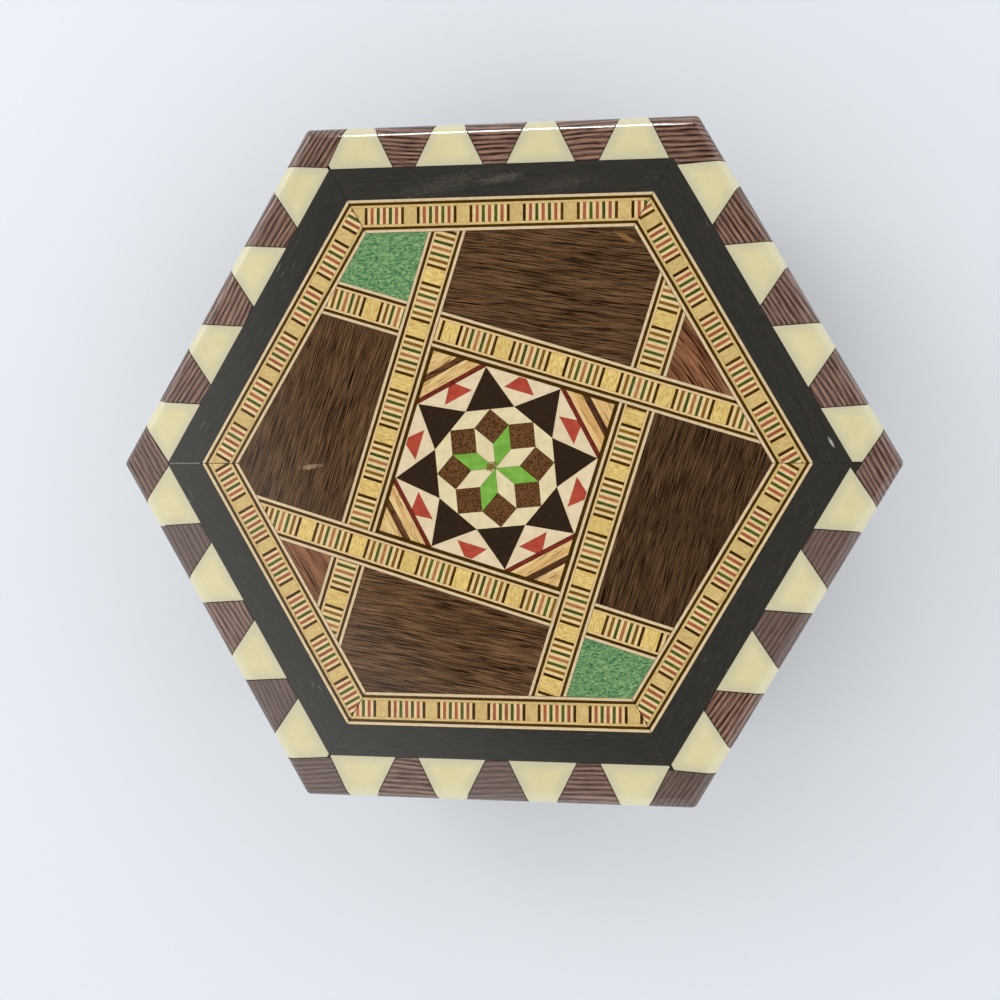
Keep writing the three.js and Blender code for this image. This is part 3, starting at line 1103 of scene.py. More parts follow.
class Inlay:
    """Slips gathered into one piece, each with its finish, grain and own tone."""

    def __init__(self, seed: int) -> None:
        """Starts an empty piece whose random tones come from a seed."""
        self.parts: dict[Finish, Part] = {}
        self.random = random.Random(seed)

    def prism(self, finish: Finish, outline: Outline, bottom: float, top: float, grain: float = 0.0,
              place: Optional[Matrix] = None, joint: float = JOINT, tone: Optional[float] = None) -> None:
        """Adds an upright slip of a convex plan.

        Args:
            finish: Its finish.
            outline: Its plan, in millimetres.
            bottom: Its lowest height.
            top: Its highest height.
            grain: The direction of its grain in the plan, in degrees.
            place: Where the plan goes, in millimetres; left out, it stays.
            joint: How far it keeps back from its outline.
            tone: Its tone from 0, dark, to 1, light; left out, it is drawn at random.
        """
        outline = shrunk(outline, joint / 2)
        if len(outline) < 3:
            return
        part = self.parts.setdefault(finish, Part())
        first, count = len(part.points), len(outline)
        place = place or Matrix.Identity(4)
        c, s = polar(1, grain)
        own = [self.random.random() for _ in range(3)]
        if tone is not None:
            own[0] = tone
        for height in (bottom, top):
            for x, y in outline:
                part.points.append(tuple((place @ Vector((x, y, height))) * MM))
                part.grain.append((c * x + s * y, c * y - s * x, height))
                part.slip.append(own)
                part.rim.append(0.0)
        part.faces.append(tuple(first + i for i in reversed(range(count))))
        part.faces.append(tuple(first + count + i for i in range(count)))
        for i in range(count):
            j = (i + 1) % count
            part.faces.append((first + i, first + j, first + count + j, first + count + i))

    def add(self, finish: Finish, mesh: bpy.types.Mesh, place: Optional[Matrix] = None) -> None:
        """Adds a mesh that has the attributes of a slip, at a place in metres."""
        self.parts.setdefault(finish, Part()).extend(mesh, place or Matrix.Identity(4))

    def turned_copies(self, tree: TurnedCopies, copies: int, seed: int) -> "Inlay":
        """The same slips repeated about the vertical axis.

        Args:
            tree: The tree that makes the copies.
            copies: How many there are.
            seed: The seed of their tones.

        Returns:
            A new piece.
        """
        whole = Inlay(seed)
        for i, (finish, part) in enumerate(self.parts.items()):
            whole.add(finish, tree.run(part.mesh("one_copy"), Copies=copies, Seed=seed + i,
                                       Finish=finish.material()))
        return whole

    def merge(self, other: "Inlay", place: Optional[Matrix] = None) -> None:
        """Adds another piece's slips, at a place in metres."""
        for finish, part in other.parts.items():
            self.add(finish, part.mesh("merged"), place)

    def build(self, name: str, slot: Slot, nodes: Iterable[str]) -> bpy.types.Object:
        """Makes the object, rides it on the body and hides the frame's nodes that it replaces.

        Args:
            name: The object's name.
            slot: Its record slot; not used.
            nodes: The frame's nodes that it replaces.

        Returns:
            The object.
        """
        whole = Part()
        indices: list[int] = []
        for number, (finish, part) in enumerate(self.parts.items()):
            whole.extend(part.mesh("part"), Matrix.Identity(4))
            indices += [number] * len(part.faces)
        mesh = whole.mesh(name)
        for finish in self.parts:
            mesh.materials.append(finish.material())
        mesh.polygons.foreach_set("material_index", indices)
        mesh.shade_smooth()
        mesh.set_sharp_from_angle(angle=math.radians(SHARP_ANGLE))
        piece = bpy.data.objects.new(name, mesh)
        bpy.context.scene.collection.objects.link(piece)
        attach(piece, BODY)
        names = list(nodes)
        if names:
            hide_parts(*names)
        LOG.info("%s: %d faces, stands for %d nodes", name, len(mesh.polygons), len(names))
        return piece


def trimmed(mesh: bpy.types.Mesh, outline: Outline) -> bpy.types.Mesh:
    """Cuts a mesh off at the upright planes through a convex outline, and closes the cuts.

    Args:
        mesh: The mesh, in metres.
        outline: The plan that is kept, in millimetres.

    Returns:
        The same mesh, cut.
    """
    form = bmesh.new()
    form.from_mesh(mesh)
    for normal, reach in edge_normals(outline):
        direction = Vector((*normal, 0))
        if all(direction.dot(v.co) <= reach * MM + CUT_SLACK for v in form.verts):
            continue
        everything = form.verts[:] + form.edges[:] + form.faces[:]
        bmesh.ops.bisect_plane(form, geom=everything, dist=CUT_SLACK, plane_co=direction * reach * MM,
                               plane_no=direction, clear_outer=True)
        bmesh.ops.holes_fill(form, edges=[e for e in form.edges if e.is_boundary], sides=0)
    bmesh.ops.recalc_face_normals(form, faces=form.faces[:])
    form.to_mesh(mesh)
    form.free()
    return mesh


@dataclass(frozen=True)
class Kit:
    """What every sub-assembly is built with."""

    layout: Layout
    rows: SlipRows
    copies: TurnedCopies


@dataclass(frozen=True)
class Banding:
    """A mosaic band: pale and dark lines along it, and groups of dyed bars with blocks between.

    A group has a dark bar, five coloured bars that are the same from either end, and a dark bar.
    """

    width: float
    group_pitch: float = 10.3
    bar_pitch: float = 1.2
    bar_width: float = 0.6
    dark_width: float = 0.52
    pale_line: float = 0.62
    dark_line: float = 0.56
    margin: float = 0.5
    inner: Finish = BOXWOOD
    block: Finish = BOXWOOD
    outer_odd: Finish = RED_BAR
    middle: Finish = RED_BAR
    even: Finish = GREEN_BAR
    end_gap: float = 0.0
    bars: int = 6
    bar_gap: float = 0.03
    block_gap: float = 0.04

    def lines(self) -> tuple[tuple[Finish, float], ...]:
        """The finish and width of the lines along the band's edge, from the outside in."""
        return (PALE_LINE, self.pale_line), (DARK_LINE, self.dark_line), (self.inner, self.margin)

    def rows(self) -> tuple[tuple[Finish, int, float, float, float], ...]:
        """The slips of one group.

        Returns:
            Finish, count, first place, pitch and width of each kind, from the group's first bar.
        """
        pitch, bar = self.bar_pitch, self.bar_width
        span = self.bars * pitch
        return (
            (DARK_BAR, 2, 0.0, span, self.dark_width),
            (self.outer_odd, 2, pitch, 4 * pitch, bar),
            (self.middle, 1, 3 * pitch, 0.0, bar),
            (self.even, 2, 2 * pitch, 2 * pitch, bar),
            (HOLLY, self.bars, pitch / 2, pitch, pitch - bar - self.bar_gap),
            (self.block, 1, (span + self.group_pitch) / 2, 0.0,
             self.group_pitch - span - self.dark_width - self.block_gap),
        )

    def lay_groups(self, kit: Kit, inlay: Inlay, room: Outline, groups: int, start: float, y_span: Point,
                   z_span: Point, seed: int, wobble: float = 0.0, place: Optional[Matrix] = None) -> None:
        """Lays groups of bars along x, cut to a plan.

        Args:
            kit: The layout and trees.
            inlay: The piece that they are added to.
            room: The plan that they are cut to, in millimetres.
            groups: How many groups there are.
            start: Where the first group's first bar stands.
            y_span: The bars' lowest and highest y.
            z_span: Their lowest and highest height.
            seed: The seed of their tones and turns.
            wobble: How far the bars may be turned, in radians.
            place: Where the plan goes, in metres.
        """
        for number, (finish, slips, offset, pitch, width) in enumerate(self.rows()):
            middle = (start + offset, sum(y_span) / 2, sum(z_span) / 2)
            size = (width, y_span[1] - y_span[0], z_span[1] - z_span[0])
            mesh = kit.rows.run(
                bpy.data.meshes.new("blank"), Groups=groups, Group_Pitch=self.group_pitch * MM, Slips=slips,
                Slip_Pitch=pitch * MM, Start=tuple(v * MM for v in middle),
                Size=tuple(v * MM for v in size), Wobble=wobble, Seed=seed * 10 + number,
                Finish=finish.material())
            inlay.add(finish, trimmed(mesh, room), place)

    def lay(self, kit: Kit, inlay: Inlay, outline: Outline, inner: float, first: float, seed: int,
            place: Matrix) -> None:
        """Lays a length of the band in the lid, along x.

        Args:
            kit: The layout and trees.
            inlay: The piece that it is added to.
            outline: The plan of the length, in millimetres.
            inner: The band's lower edge in y.
            first: Where a group's first bar stands.
            seed: The seed of its tones.
            place: Where the plan goes, in millimetres.
        """
        heights = kit.layout.veneers
        outline = shrunk(outline, self.end_gap / 2)
        lines = self.lines()
        margin = sum(width for _, width in lines)
        low, high = inner + margin, inner + self.width - margin
        for y, side in ((inner, lines), (high, reversed(lines))):
            for finish, width in side:
                inlay.prism(finish, windowed(outline, bottom=y, top=y + width), *heights, place=place,
                            joint=FINE_JOINT)
                y += width
        room = shrunk(windowed(outline, bottom=low, top=high), FINE_JOINT)
        left, right = min(x for x, _ in room), max(x for x, _ in room)
        start = first + math.floor((left - first) / self.group_pitch) * self.group_pitch
        groups = math.ceil((right - start) / self.group_pitch)
        self.lay_groups(kit, inlay, room, groups, start, (low + FINE_JOINT, high - FINE_JOINT), heights,
                        seed, BAR_WOBBLE, in_metres(place))

    def stand(self, kit: Kit, inlay: Inlay, room: Outline, y_span: Point, z_span: Point, seed: int) -> None:
        """Stands the bars of a length on edge in a wall, along x, with equal ends.

        Args:
            kit: The layout and trees.
            inlay: The piece that they are added to.
            room: The plan that they are cut to, in millimetres.
            y_span: The apothems of their back and face.
            z_span: Their lowest and highest height.
            seed: The seed of their tones.
        """
        left, right = min(x for x, _ in room), max(x for x, _ in room)
        groups = math.ceil((right - left) / self.group_pitch)
        covered = (groups - 1) * self.group_pitch + self.bars * self.bar_pitch
        start = (left + right - covered) / 2
        self.lay_groups(kit, inlay, room, groups + 1, start, y_span,
                        (z_span[0] + FINE_JOINT, z_span[1] - FINE_JOINT), seed)


@dataclass(frozen=True)
class Edging:
    """The lid's edge: rosewood blocks and bone-coloured wedges, with a rounded upper arris.

    The wedges of each side stand off its middle by their own shift. The figures are those of the
    three blocks between a side's wedges and of the one at its right corner. The rims say how grey a
    wedge is at some distances from its edge. Sides go from the back round by the left.
    """

    arris: float = 2.2
    corner: float = 1.2
    wedges: int = 4
    wedge_outer: float = 5.2
    wedge_gap: float = 4.5
    wedge_shift: tuple[float, ...] = (-0.7, 0.3, -0.5, 0.0, 0.9, 1.5)
    arc_steps: int = 8
    corner_steps: int = 6
    taper: float = 0.6
    least_corner: float = 0.2
    brow: float = 0.1
    field_corner: float = 0.02
    swing: float = 4.0
    overshoot: float = 2.0
    glue: float = 0.18
    rims: tuple[tuple[float, float], ...] = ((0.0, 1.0), (0.45, 0.75), (2.2, 0.0))
    figures: tuple[tuple[Figure, ...], ...] = (
        (Figure.BOLD, Figure.BOLD, Figure.BOLD, Figure.BOLD),
        (Figure.BOLD, Figure.BOLD, Figure.BOLD, Figure.BOLD),
        (Figure.PLAIN, Figure.MILD, Figure.PLAIN, Figure.MILD),
        (Figure.MILD, Figure.PLAIN, Figure.MILD, Figure.PLAIN),
        (Figure.PLAIN, Figure.PLAIN, Figure.BOLD, Figure.PLAIN),
        (Figure.BOLD, Figure.MILD, Figure.MILD, Figure.MILD),
    )

    def ring(self, layout: Layout, bottom: float) -> bpy.types.Mesh:
        """The whole edging as one closed ring.

        Args:
            layout: The box's sizes.
            bottom: The ring's lowest height.

        Returns:
            The mesh, in metres.
        """
        section = [(layout.apothem, self.corner, bottom)]
        for i in range(self.arc_steps + 1):
            angle = i / self.arc_steps * math.pi / 2
            inward = self.arris * (1 - math.cos(angle))
            section.append((layout.apothem - inward,
                            max(self.corner - self.taper * inward, self.least_corner),
                            layout.top - self.arris * (1 - math.sin(angle))))
        section += [(layout.apothem - self.arris - self.brow, self.brow, layout.top),
                    (layout.edging_inner, self.field_corner, layout.top),
                    (layout.edging_inner, self.field_corner, bottom)]
        points, faces = [], []
        for apothem, radius, height in section:
            centre = (apothem - radius) / math.cos(math.pi / 6)
            for corner in range(0, 360, 60):
                middle = polar(centre, corner)
                for j in range(self.corner_steps):
                    reach = polar(radius, corner - 30 + 60 * j / (self.corner_steps - 1))
                    points.append(((middle[0] + reach[0]) * MM, (middle[1] + reach[1]) * MM, height * MM))
        count = 6 * self.corner_steps
        for row in range(len(section)):
            following = (row + 1) % len(section)
            for i in range(count):
                j = (i + 1) % count
                faces.append((row * count + i, row * count + j, following * count + j,
                              following * count + i))
        mesh = bpy.data.meshes.new("edging_ring")
        mesh.from_pydata(points, [], faces)
        return mesh

    def block(self, inlay: Inlay, finish: Finish, ring: bpy.types.Mesh, outline: Outline,
              side: int) -> None:
        """Cuts one block out of the ring and adds it.

        Args:
            inlay: The piece that it is added to.
            finish: The block's finish.
            ring: The edging's ring.
            outline: The block's plan, laid out for the back side, in millimetres.
            side: The side's number, from the back round by the left.
        """
        outline = turned(shrunk(outline, self.glue / 2), 60 * side)
        if len(outline) < 3:
            return
        mesh = trimmed(ring.copy(), outline)
        if not mesh.polygons:
            return
        rim = self.mark_rim(mesh, outline) if finish is BONE else []
        own = [inlay.random.random() for _ in range(3)]
        swing = 0.0 if finish is BONE else inlay.random.uniform(-self.swing, self.swing)
        along = Matrix.Rotation(math.radians(swing - 60 * side), 3, "Z")
        for label, rows in (("grain", [along @ v.co / MM for v in mesh.vertices]),
                            ("slip", [own] * len(mesh.vertices))):
            layer = mesh.attributes.new(label, "FLOAT_VECTOR", "POINT")
            layer.data.foreach_set("vector", [c for row in rows for c in row])
        if rim:
            mesh.attributes.new("rim", "FLOAT", "POINT").data.foreach_set("value", rim)
        inlay.add(finish, mesh)

    def mark_rim(self, mesh: bpy.types.Mesh, outline: Outline) -> list[float]:
        """Cuts loops just inside a wedge's edges.

        Args:
            mesh: The wedge, in metres.
            outline: Its plan, in millimetres.

        Returns:
            How grey each vertex is by the rims: 1 at the edge, and 0 from the last loop inwards.
        """
        form = bmesh.new()
        form.from_mesh(mesh)
        normals = edge_normals(outline)
        for normal, reach in normals:
            for distance, _ in self.rims[1:]:
                bmesh.ops.bisect_plane(
                    form, geom=form.verts[:] + form.edges[:] + form.faces[:], dist=CUT_SLACK,
                    plane_co=Vector((*normal, 0)) * (reach - distance) * MM, plane_no=Vector((*normal, 0)))
        form.to_mesh(mesh)
        form.free()
        near = []
        for vertex in mesh.vertices:
            x, y = vertex.co.x / MM, vertex.co.y / MM
            distance = min(reach - normal[0] * x - normal[1] * y for normal, reach in normals)
            value = 0.0
            for (start, high), (stop, low) in zip(self.rims, self.rims[1:]):
                if start <= max(distance, 0.0) <= stop:
                    value = high + (low - high) * (max(distance, 0.0) - start) / (stop - start)
            near.append(value)
        return near

    def half_width(self, layout: Layout, y: float) -> float:
        """Half the width of a wedge.

        Args:
            layout: The box's sizes.
            y: The distance from the lid's middle.

        Returns:
            The half width there.
        """
        length = 2 * layout.edging_inner * math.tan(math.pi / 6)
        inner = (length - (self.wedges - 1) * self.wedge_gap) / self.wedges / 2
        share = (y - layout.edging_inner) / (layout.apothem - layout.edging_inner)
        return inner + share * (self.wedge_outer / 2 - inner)

    def centres(self, layout: Layout, side: int) -> list[float]:
        """The middles of a side's wedges.

        Args:
            layout: The box's sizes.
            side: The side's number, from the back round by the left.

        Returns:
            Their x from left to right, laid out for the back side.
        """
        pitch = 2 * self.half_width(layout, layout.edging_inner) + self.wedge_gap
        first = self.wedge_shift[side % 6] - pitch * (self.wedges - 1) / 2
        return [first + pitch * i for i in range(self.wedges)]

    def flank(self, layout: Layout, centre: float, sign: int) -> Outline:
        """Two points on a wedge's flank, the inner one first; the sign says which flank."""
        return [(centre + sign * self.half_width(layout, y), y)
                for y in (layout.edging_inner - self.overshoot, layout.apothem + self.overshoot)]

    def corner_between(self, layout: Layout, left: Outline, right: Outline) -> Outline:
        """The part of the fan round the back side's right corner that lies between two lines.

        Args:
            layout: The box's sizes.
            left: Two points on the line that is to its left.
            right: Two points on the line that is to its right.

        Returns:
            The outline.
        """
        far = layout.apothem + self.overshoot
        # A corner lies 1.15 times as far out as the sides beside it.
        fan = [(0, 0), polar(far, 30), polar(far * 1.2, 60), polar(far, 90)]
        return left_of(left_of(fan, *left), *right)

    def build(self, kit: Kit) -> None:
        """Builds the wedges with their beds, and the blocks between them.

        Args:
            kit: The layout and trees.
        """
        layout = kit.layout
        wedges, blocks, beds = Inlay(seed=3), Inlay(seed=5), Inlay(seed=31)
        ring = self.ring(layout, layout.edging_bottom)
        wedge_ring = self.ring(layout, layout.wedge_bottom)
        for side, figures in enumerate(self.figures):
            centres = self.centres(layout, side)
            for centre in centres:
                left, right = self.flank(layout, centre, -1), self.flank(layout, centre, 1)
                outline = [left[0], right[0], right[1], left[1]]
                for mitre in (RIGHT_MITRE, LEFT_MITRE):
                    outline = clipped(outline, polar(1, mitre), -FRAME_GLUE_LINE / 2)
                outline = windowed(outline, bottom=layout.edging_inner - self.glue / 2)
                self.block(wedges, BONE, wedge_ring, outline, side)
                beds.prism(ROSEWOOD, windowed(outline, top=layout.apothem), layout.edging_bottom,
                           layout.wedge_bottom - FRAME_GLUE_LINE, joint=self.glue,
                           place=turned_about_z(60 * side))
            for figure, before, after in zip(figures, centres, centres[1:]):
                left, right = self.flank(layout, before, 1), self.flank(layout, after, -1)
                outline = windowed([left[0], right[0], right[1], left[1]], bottom=layout.edging_inner)
                self.block(blocks, figure.value, ring, outline, side)
            left = self.flank(layout, centres[-1], 1)
            right = turned(self.flank(layout, self.centres(layout, side - 1)[0], -1), -60)
            corner = self.corner_between(layout, left[::-1], right)
            self.block(blocks, figures[-1].value, ring, corner, side)
            self.corner_fillers(layout, blocks, ring, left, right, side)
        names = [f"bone_wedge_{n}_{side}" for n in range(1, self.wedges + 1) for side in SIDES]
        wedges.build("bone_wedges", Slot.BONE, names)
        blocks.merge(beds)
        blocks.build("rosewood_blocks", Slot.ROSEWOOD, ["rosewood_edging"])

    def corner_fillers(self, layout: Layout, blocks: Inlay, ring: bpy.types.Mesh, left: Outline,
                       right: Outline, side: int) -> None:
        """Fills the gaps beside a corner's block where the wedges stand off the corner.

        Args:
            layout: The box's sizes.
            blocks: The piece that the fillers are added to.
            ring: The edging's ring.
            left: The flank of the side's last wedge.
            right: The flank of the first wedge of the side to its right.
            side: The side's number, from the back round by the left.
        """
        for first, second, mitre in ((left, right, LEFT_MITRE - 60), (right[::-1], left[::-1], RIGHT_MITRE)):
            outline = self.corner_between(layout, first, second)
            self.block(blocks, EBONISED, ring, clipped(outline, polar(1, mitre), FRAME_GLUE_LINE / 2), side)


@dataclass(frozen=True)
class Borders:
    """The black border and the mosaic frame inside it, six mitred lengths each.

    The runs are where each length's first group starts, and its pitch.
    """

    mitre: float = 0.03
    filled_mitre: float = 0.22
    filler_ends: tuple[float, float] = (0.4, 0.3)
    bar_share: float = 0.1172
    end_gap: float = 0.06
    runs: tuple[tuple[float, float], ...] = (
        (-16.0, 10.6), (-16.7, 10.55), (-19.2, 9.95), (-25.5, 10.05), (-17.9, 10.05), (-24.3, 10.05))

    def build(self, kit: Kit) -> None:
        """Builds both rings.

        Args:
            kit: The layout and trees.
        """
        self.black(kit.layout)
        self.mosaic(kit)

    def black(self, layout: Layout) -> None:
        """Builds the black border, with filler in its left mitre.

        Args:
            layout: The box's sizes.
        """
        border = Inlay(seed=7)
        plan = mitred(layout.ebony_inner, layout.edging_inner)
        for i in range(6):
            outline = plan
            for mitre, corner in ((RIGHT_MITRE, i + 1), (LEFT_MITRE, i + 2)):
                gap = self.filled_mitre if corner == LEFT_CORNER else self.mitre
                outline = clipped(outline, polar(1, mitre), -gap / 2)
            border.prism(EBONISED, outline, *layout.veneers, joint=FINE_JOINT, place=turned_about_z(60 * i))
        near, far = (a / math.cos(math.pi / 6) for a in (layout.ebony_inner, layout.edging_inner))
        start, end, half = self.filler_ends[0] - far, -near - self.filler_ends[1], self.filled_mitre / 2
        border.prism(FILLER, [(start, -half), (end, -half), (end, half), (start, half)], *layout.veneers,
                     joint=HAIR_JOINT)
        border.build("ebony_lengths", Slot.EBONISED, ["ebony_border"])

    def mosaic(self, kit: Kit) -> None:
        """Builds the mosaic frame, each length with its own start and pitch.

        Args:
            kit: The layout and trees.
        """
        layout = kit.layout
        frame = Inlay(seed=9)
        outline = shrunk(mitred(layout.field_apothem, layout.ebony_inner), JOINT / 2)
        for i, (first, pitch) in enumerate(self.runs):
            band = Banding(layout.ebony_inner - layout.field_apothem, pitch, pitch * self.bar_share,
                           inner=FRAME_BOXWOOD, block=FRAME_BOXWOOD, end_gap=self.end_gap)
            band.lay(kit, frame, outline, layout.field_apothem, first, 50 + i, turned_about_z(60 * i))
        frame.build("mosaic_frame_lengths", Slot.MOSAIC, ["mosaic_frame"])


@dataclass(frozen=True)
class Lattice:
    """The crossing strips and the panels between them, in a frame turned by quarter turns."""

    group_pitch: float = 11.05
    bar_pitch: float = 1.22
    bar_width: float = 0.58
    dark_width: float = 0.54
    pale_line: float = 0.6
    dark_line: float = 0.58
    margin: float = 0.42
    long_first: tuple[float, ...] = (-14.7, -15.5, -9.2, -9.4)
    short_first: tuple[float, ...] = (-31.5, -35.3, -37.1, -32.7)
    panel_grain: tuple[float, ...] = (-9.0, 74.0, -10.0, 72.0)
    panel_tone: tuple[float, ...] = (0.34, 0.0, 0.51, 0.3)
    corner_grain: tuple[float, ...] = (-55.0, 10.0, -57.0, 10.0)
    corners: tuple[tuple[str, Finish, Slot], ...] = (
        ("mahogany_panel_back_right", MAHOGANY, Slot.MAHOGANY),
        ("green_panel_front_right", GREEN_VENEER, Slot.GREEN),
        ("mahogany_panel_front_left", MAHOGANY, Slot.MAHOGANY),
        ("green_panel_back_left", GREEN_VENEER, Slot.GREEN))

    def build(self, kit: Kit) -> None:
        """Builds the strips and panels of each quarter.

        Args:
            kit: The layout and trees.
        """
        layout = kit.layout
        back = (-layout.centre[0], -layout.centre[1])
        for i in range(len(QUARTERS)):
            turn = LATTICE_TURN - 90 * i
            room = turned(turned(hexagon(layout.field_apothem), 0, back), -turn)
            place = Matrix.Translation((*layout.centre, 0)) @ turned_about_z(turn)
            self.strips(kit, i, room, place)
            self.panels(layout, i, room, place, turn)

    def strips(self, kit: Kit, i: int, room: Outline, place: Matrix) -> None:
        """Builds a quarter's long and short strip.

        Args:
            kit: The layout and trees.
            i: The quarter's number.
            room: The field's outline, in the quarter's own frame.
            place: Where that frame lies, in millimetres.
        """
        half, outer = kit.layout.half_square, kit.layout.half_square + kit.layout.strip
        band = Banding(kit.layout.strip, self.group_pitch, self.bar_pitch, self.bar_width, self.dark_width,
                       self.pale_line, self.dark_line, self.margin, inner=GOLDEN_LINE, outer_odd=TAN_BAR,
                       middle=SALMON_BAR)
        for number, (kind, bounds, first) in enumerate((
                ("long", {"left": -half}, self.long_first[i]),
                ("short", {"right": -outer}, self.short_first[i]))):
            strip = Inlay(seed=60 + i)
            outline = shrunk(windowed(room, bottom=half, top=outer, **bounds), JOINT / 2)
            band.lay(kit, strip, outline, half, first, 70 + 2 * i + number, place)
            node = f"{kind}_strip_{QUARTERS[i]}"
            strip.build(f"{node}_slips", Slot.MOSAIC, [node])

    def panels(self, layout: Layout, i: int, room: Outline, place: Matrix, turn: float) -> None:
        """Builds a quarter's walnut panel and the panel in its corner.

        Args:
            layout: The box's sizes.
            i: The quarter's number.
            room: The field's outline, in the quarter's own frame.
            place: Where that frame lies, in millimetres.
            turn: That frame's turn, in degrees.
        """
        half, outer = layout.half_square, layout.half_square + layout.strip
        panel = Inlay(seed=80 + i)
        panel.prism(WALNUT, windowed(room, bottom=outer, left=-half, right=half), *layout.veneers,
                    self.panel_grain[i] - turn, place, tone=self.panel_tone[i])
        panel.build(f"walnut_veneer_{QUARTERS[i]}", Slot.WALNUT, [f"walnut_panel_{QUARTERS[i]}"])
        node, finish, slot = self.corners[i]
        corner = Inlay(seed=90 + i)
        corner.prism(finish, windowed(room, bottom=outer, left=outer), *layout.veneers,
                     self.corner_grain[i] - turn, place)
        corner.build(node.replace("panel", "veneer"), slot, [node])


@dataclass(frozen=True)
class Medallion:
    """The eight-fold rosette in the middle, drawn on one unit, the side of its small squares."""

    edge_line: float = 0.72
    margin: float = 0.85
    red_line: float = 0.9
    pale_stripe: float = 2.3
    brown_stripe: float = 1.2
    last_stripe: float = 20.0
    red_height: float = 2.75
    red_base: float = 3.1
    red_apex: float = 0.75
    margin_slope: float = 0.41

    def build(self, kit: Kit) -> None:
        """Builds the rosette, its ground and the striped corners.

        Args:
            kit: The layout and trees.
        """
        layout = kit.layout
        eighth = math.pi / 8
        apothem = 1 / math.tan(eighth)
        tip = apothem + math.sqrt(3)
        unit = (layout.half_square - self.margin) / (tip * math.cos(eighth))
        side_tip = 2 * math.cos(eighth)
        vertex = 1 / math.sin(eighth)
        heights = layout.veneers
        star = Inlay(seed=11)

        def at(*points: Point) -> Outline:
            """Points given as distance in units and angle in degrees, as an outline in millimetres."""
            return [polar(radius * unit, angle) for radius, angle in points]

        star.prism(BROWN_SQUARE, at((1, 22.5), (side_tip, 0), (apothem, 22.5), (side_tip, 45)), *heights)
        star.prism(WHITE, at((side_tip, 0), (apothem, -22.5), (vertex, 0), (apothem, 22.5)), *heights)
        star.prism(BLACK, at((vertex, 0), (tip, 22.5), (vertex, 45)), *heights, grain=112.5)
        whole = star.turned_copies(kit.copies, 8, seed=43)
        for finish, start in ((BRIGHT_GREEN, 0), (WHITE, 45)):
            lozenges = Inlay(seed=13)
            outline = at((0, 0), (1, start - 22.5), (side_tip, start), (1, start + 22.5))
            lozenges.prism(finish, outline, *heights)
            whole.merge(lozenges.turned_copies(kit.copies, 4, seed=47))
        place = in_metres(layout.lattice_place)
        rosette = Inlay(seed=15)
        rosette.merge(whole, place)
        rosette.build("rosette_slips", Slot.STAR, ["medallion_star"])
        placed = Inlay(seed=16)
        placed.merge(self.ground(kit, unit, vertex, tip), place)
        placed.build("medallion_ground_slips", Slot.GROUND, ["medallion_ground"])

    def ground(self, kit: Kit, unit: float, vertex: float, tip: float) -> Inlay:
        """The pale ground with its red pieces, and the striped corners beyond it.

        Args:
            kit: The layout and trees.
            unit: The rosette's unit, in millimetres.
            vertex: The octagon's corner radius, in units.
            tip: The points' radius, in units.

        Returns:
            The slips, in the lattice's own frame.
        """
        edge, reach = polar(tip * unit, 22.5)
        base = edge - self.red_height
        start, low, high = (vertex * unit, 0), (base, -self.red_base), (base, self.red_base)
        apex_low, apex_high = (edge, -self.red_apex), (edge, self.red_apex)
        white = (
            [start, (edge, -reach), low],
            [start, low, high],
            [start, high, (edge, reach)],
            [low, (edge, -reach), apex_low],
            [high, apex_high, (edge, reach)],
        )
        eighth = Inlay(seed=17)
        eighth.prism(RED_INLAY, [low, apex_low, apex_high, high], *kit.layout.veneers)
        for outline in white:
            eighth.prism(GROUND_WHITE, outline, *kit.layout.veneers, joint=HAIR_JOINT)
        whole = eighth.turned_copies(kit.copies, 8, seed=53)
        whole.merge(self.corner(kit.layout, edge).turned_copies(kit.copies, 4, seed=59))
        return whole

    def corner(self, layout: Layout, edge: float) -> Inlay:
        """The stripes of one corner, with one side of the dark line round the square.

        Args:
            layout: The box's sizes.
            edge: How far the rosette reaches, in millimetres.

        Returns:
            The slips, in the lattice's own frame.
        """
        half = layout.half_square
        inner = half - self.edge_line
        corner = Inlay(seed=19)
        square = [(-inner, -inner), (inner, -inner), (inner, inner), (-inner, inner)]
        diagonal = (math.sqrt(0.5), math.sqrt(0.5))
        distance = edge
        for finish, width in ((DARK_RED, self.red_line), (STRIPED_BOX, self.pale_stripe),
                              (BROWN_STRIPE, self.brown_stripe), (STRIPED_BOX, self.last_stripe)):
            outline = clipped(square, diagonal, distance + width)
            outline = clipped(outline, (-diagonal[0], -diagonal[1]), -distance)
            corner.prism(finish, outline, *layout.veneers, grain=135)
            distance += width
        line = [(-inner, inner), (inner, inner), (half, half), (-half, half)]
        corner.prism(DARK_LINE, line, *layout.veneers)
        near, far = edge * self.margin_slope, inner * self.margin_slope
        margin = [(-near, edge), (near, edge), (far, inner), (-far, inner)]
        corner.prism(GROUND_WHITE, margin, *layout.veneers, joint=0.0)
        return corner


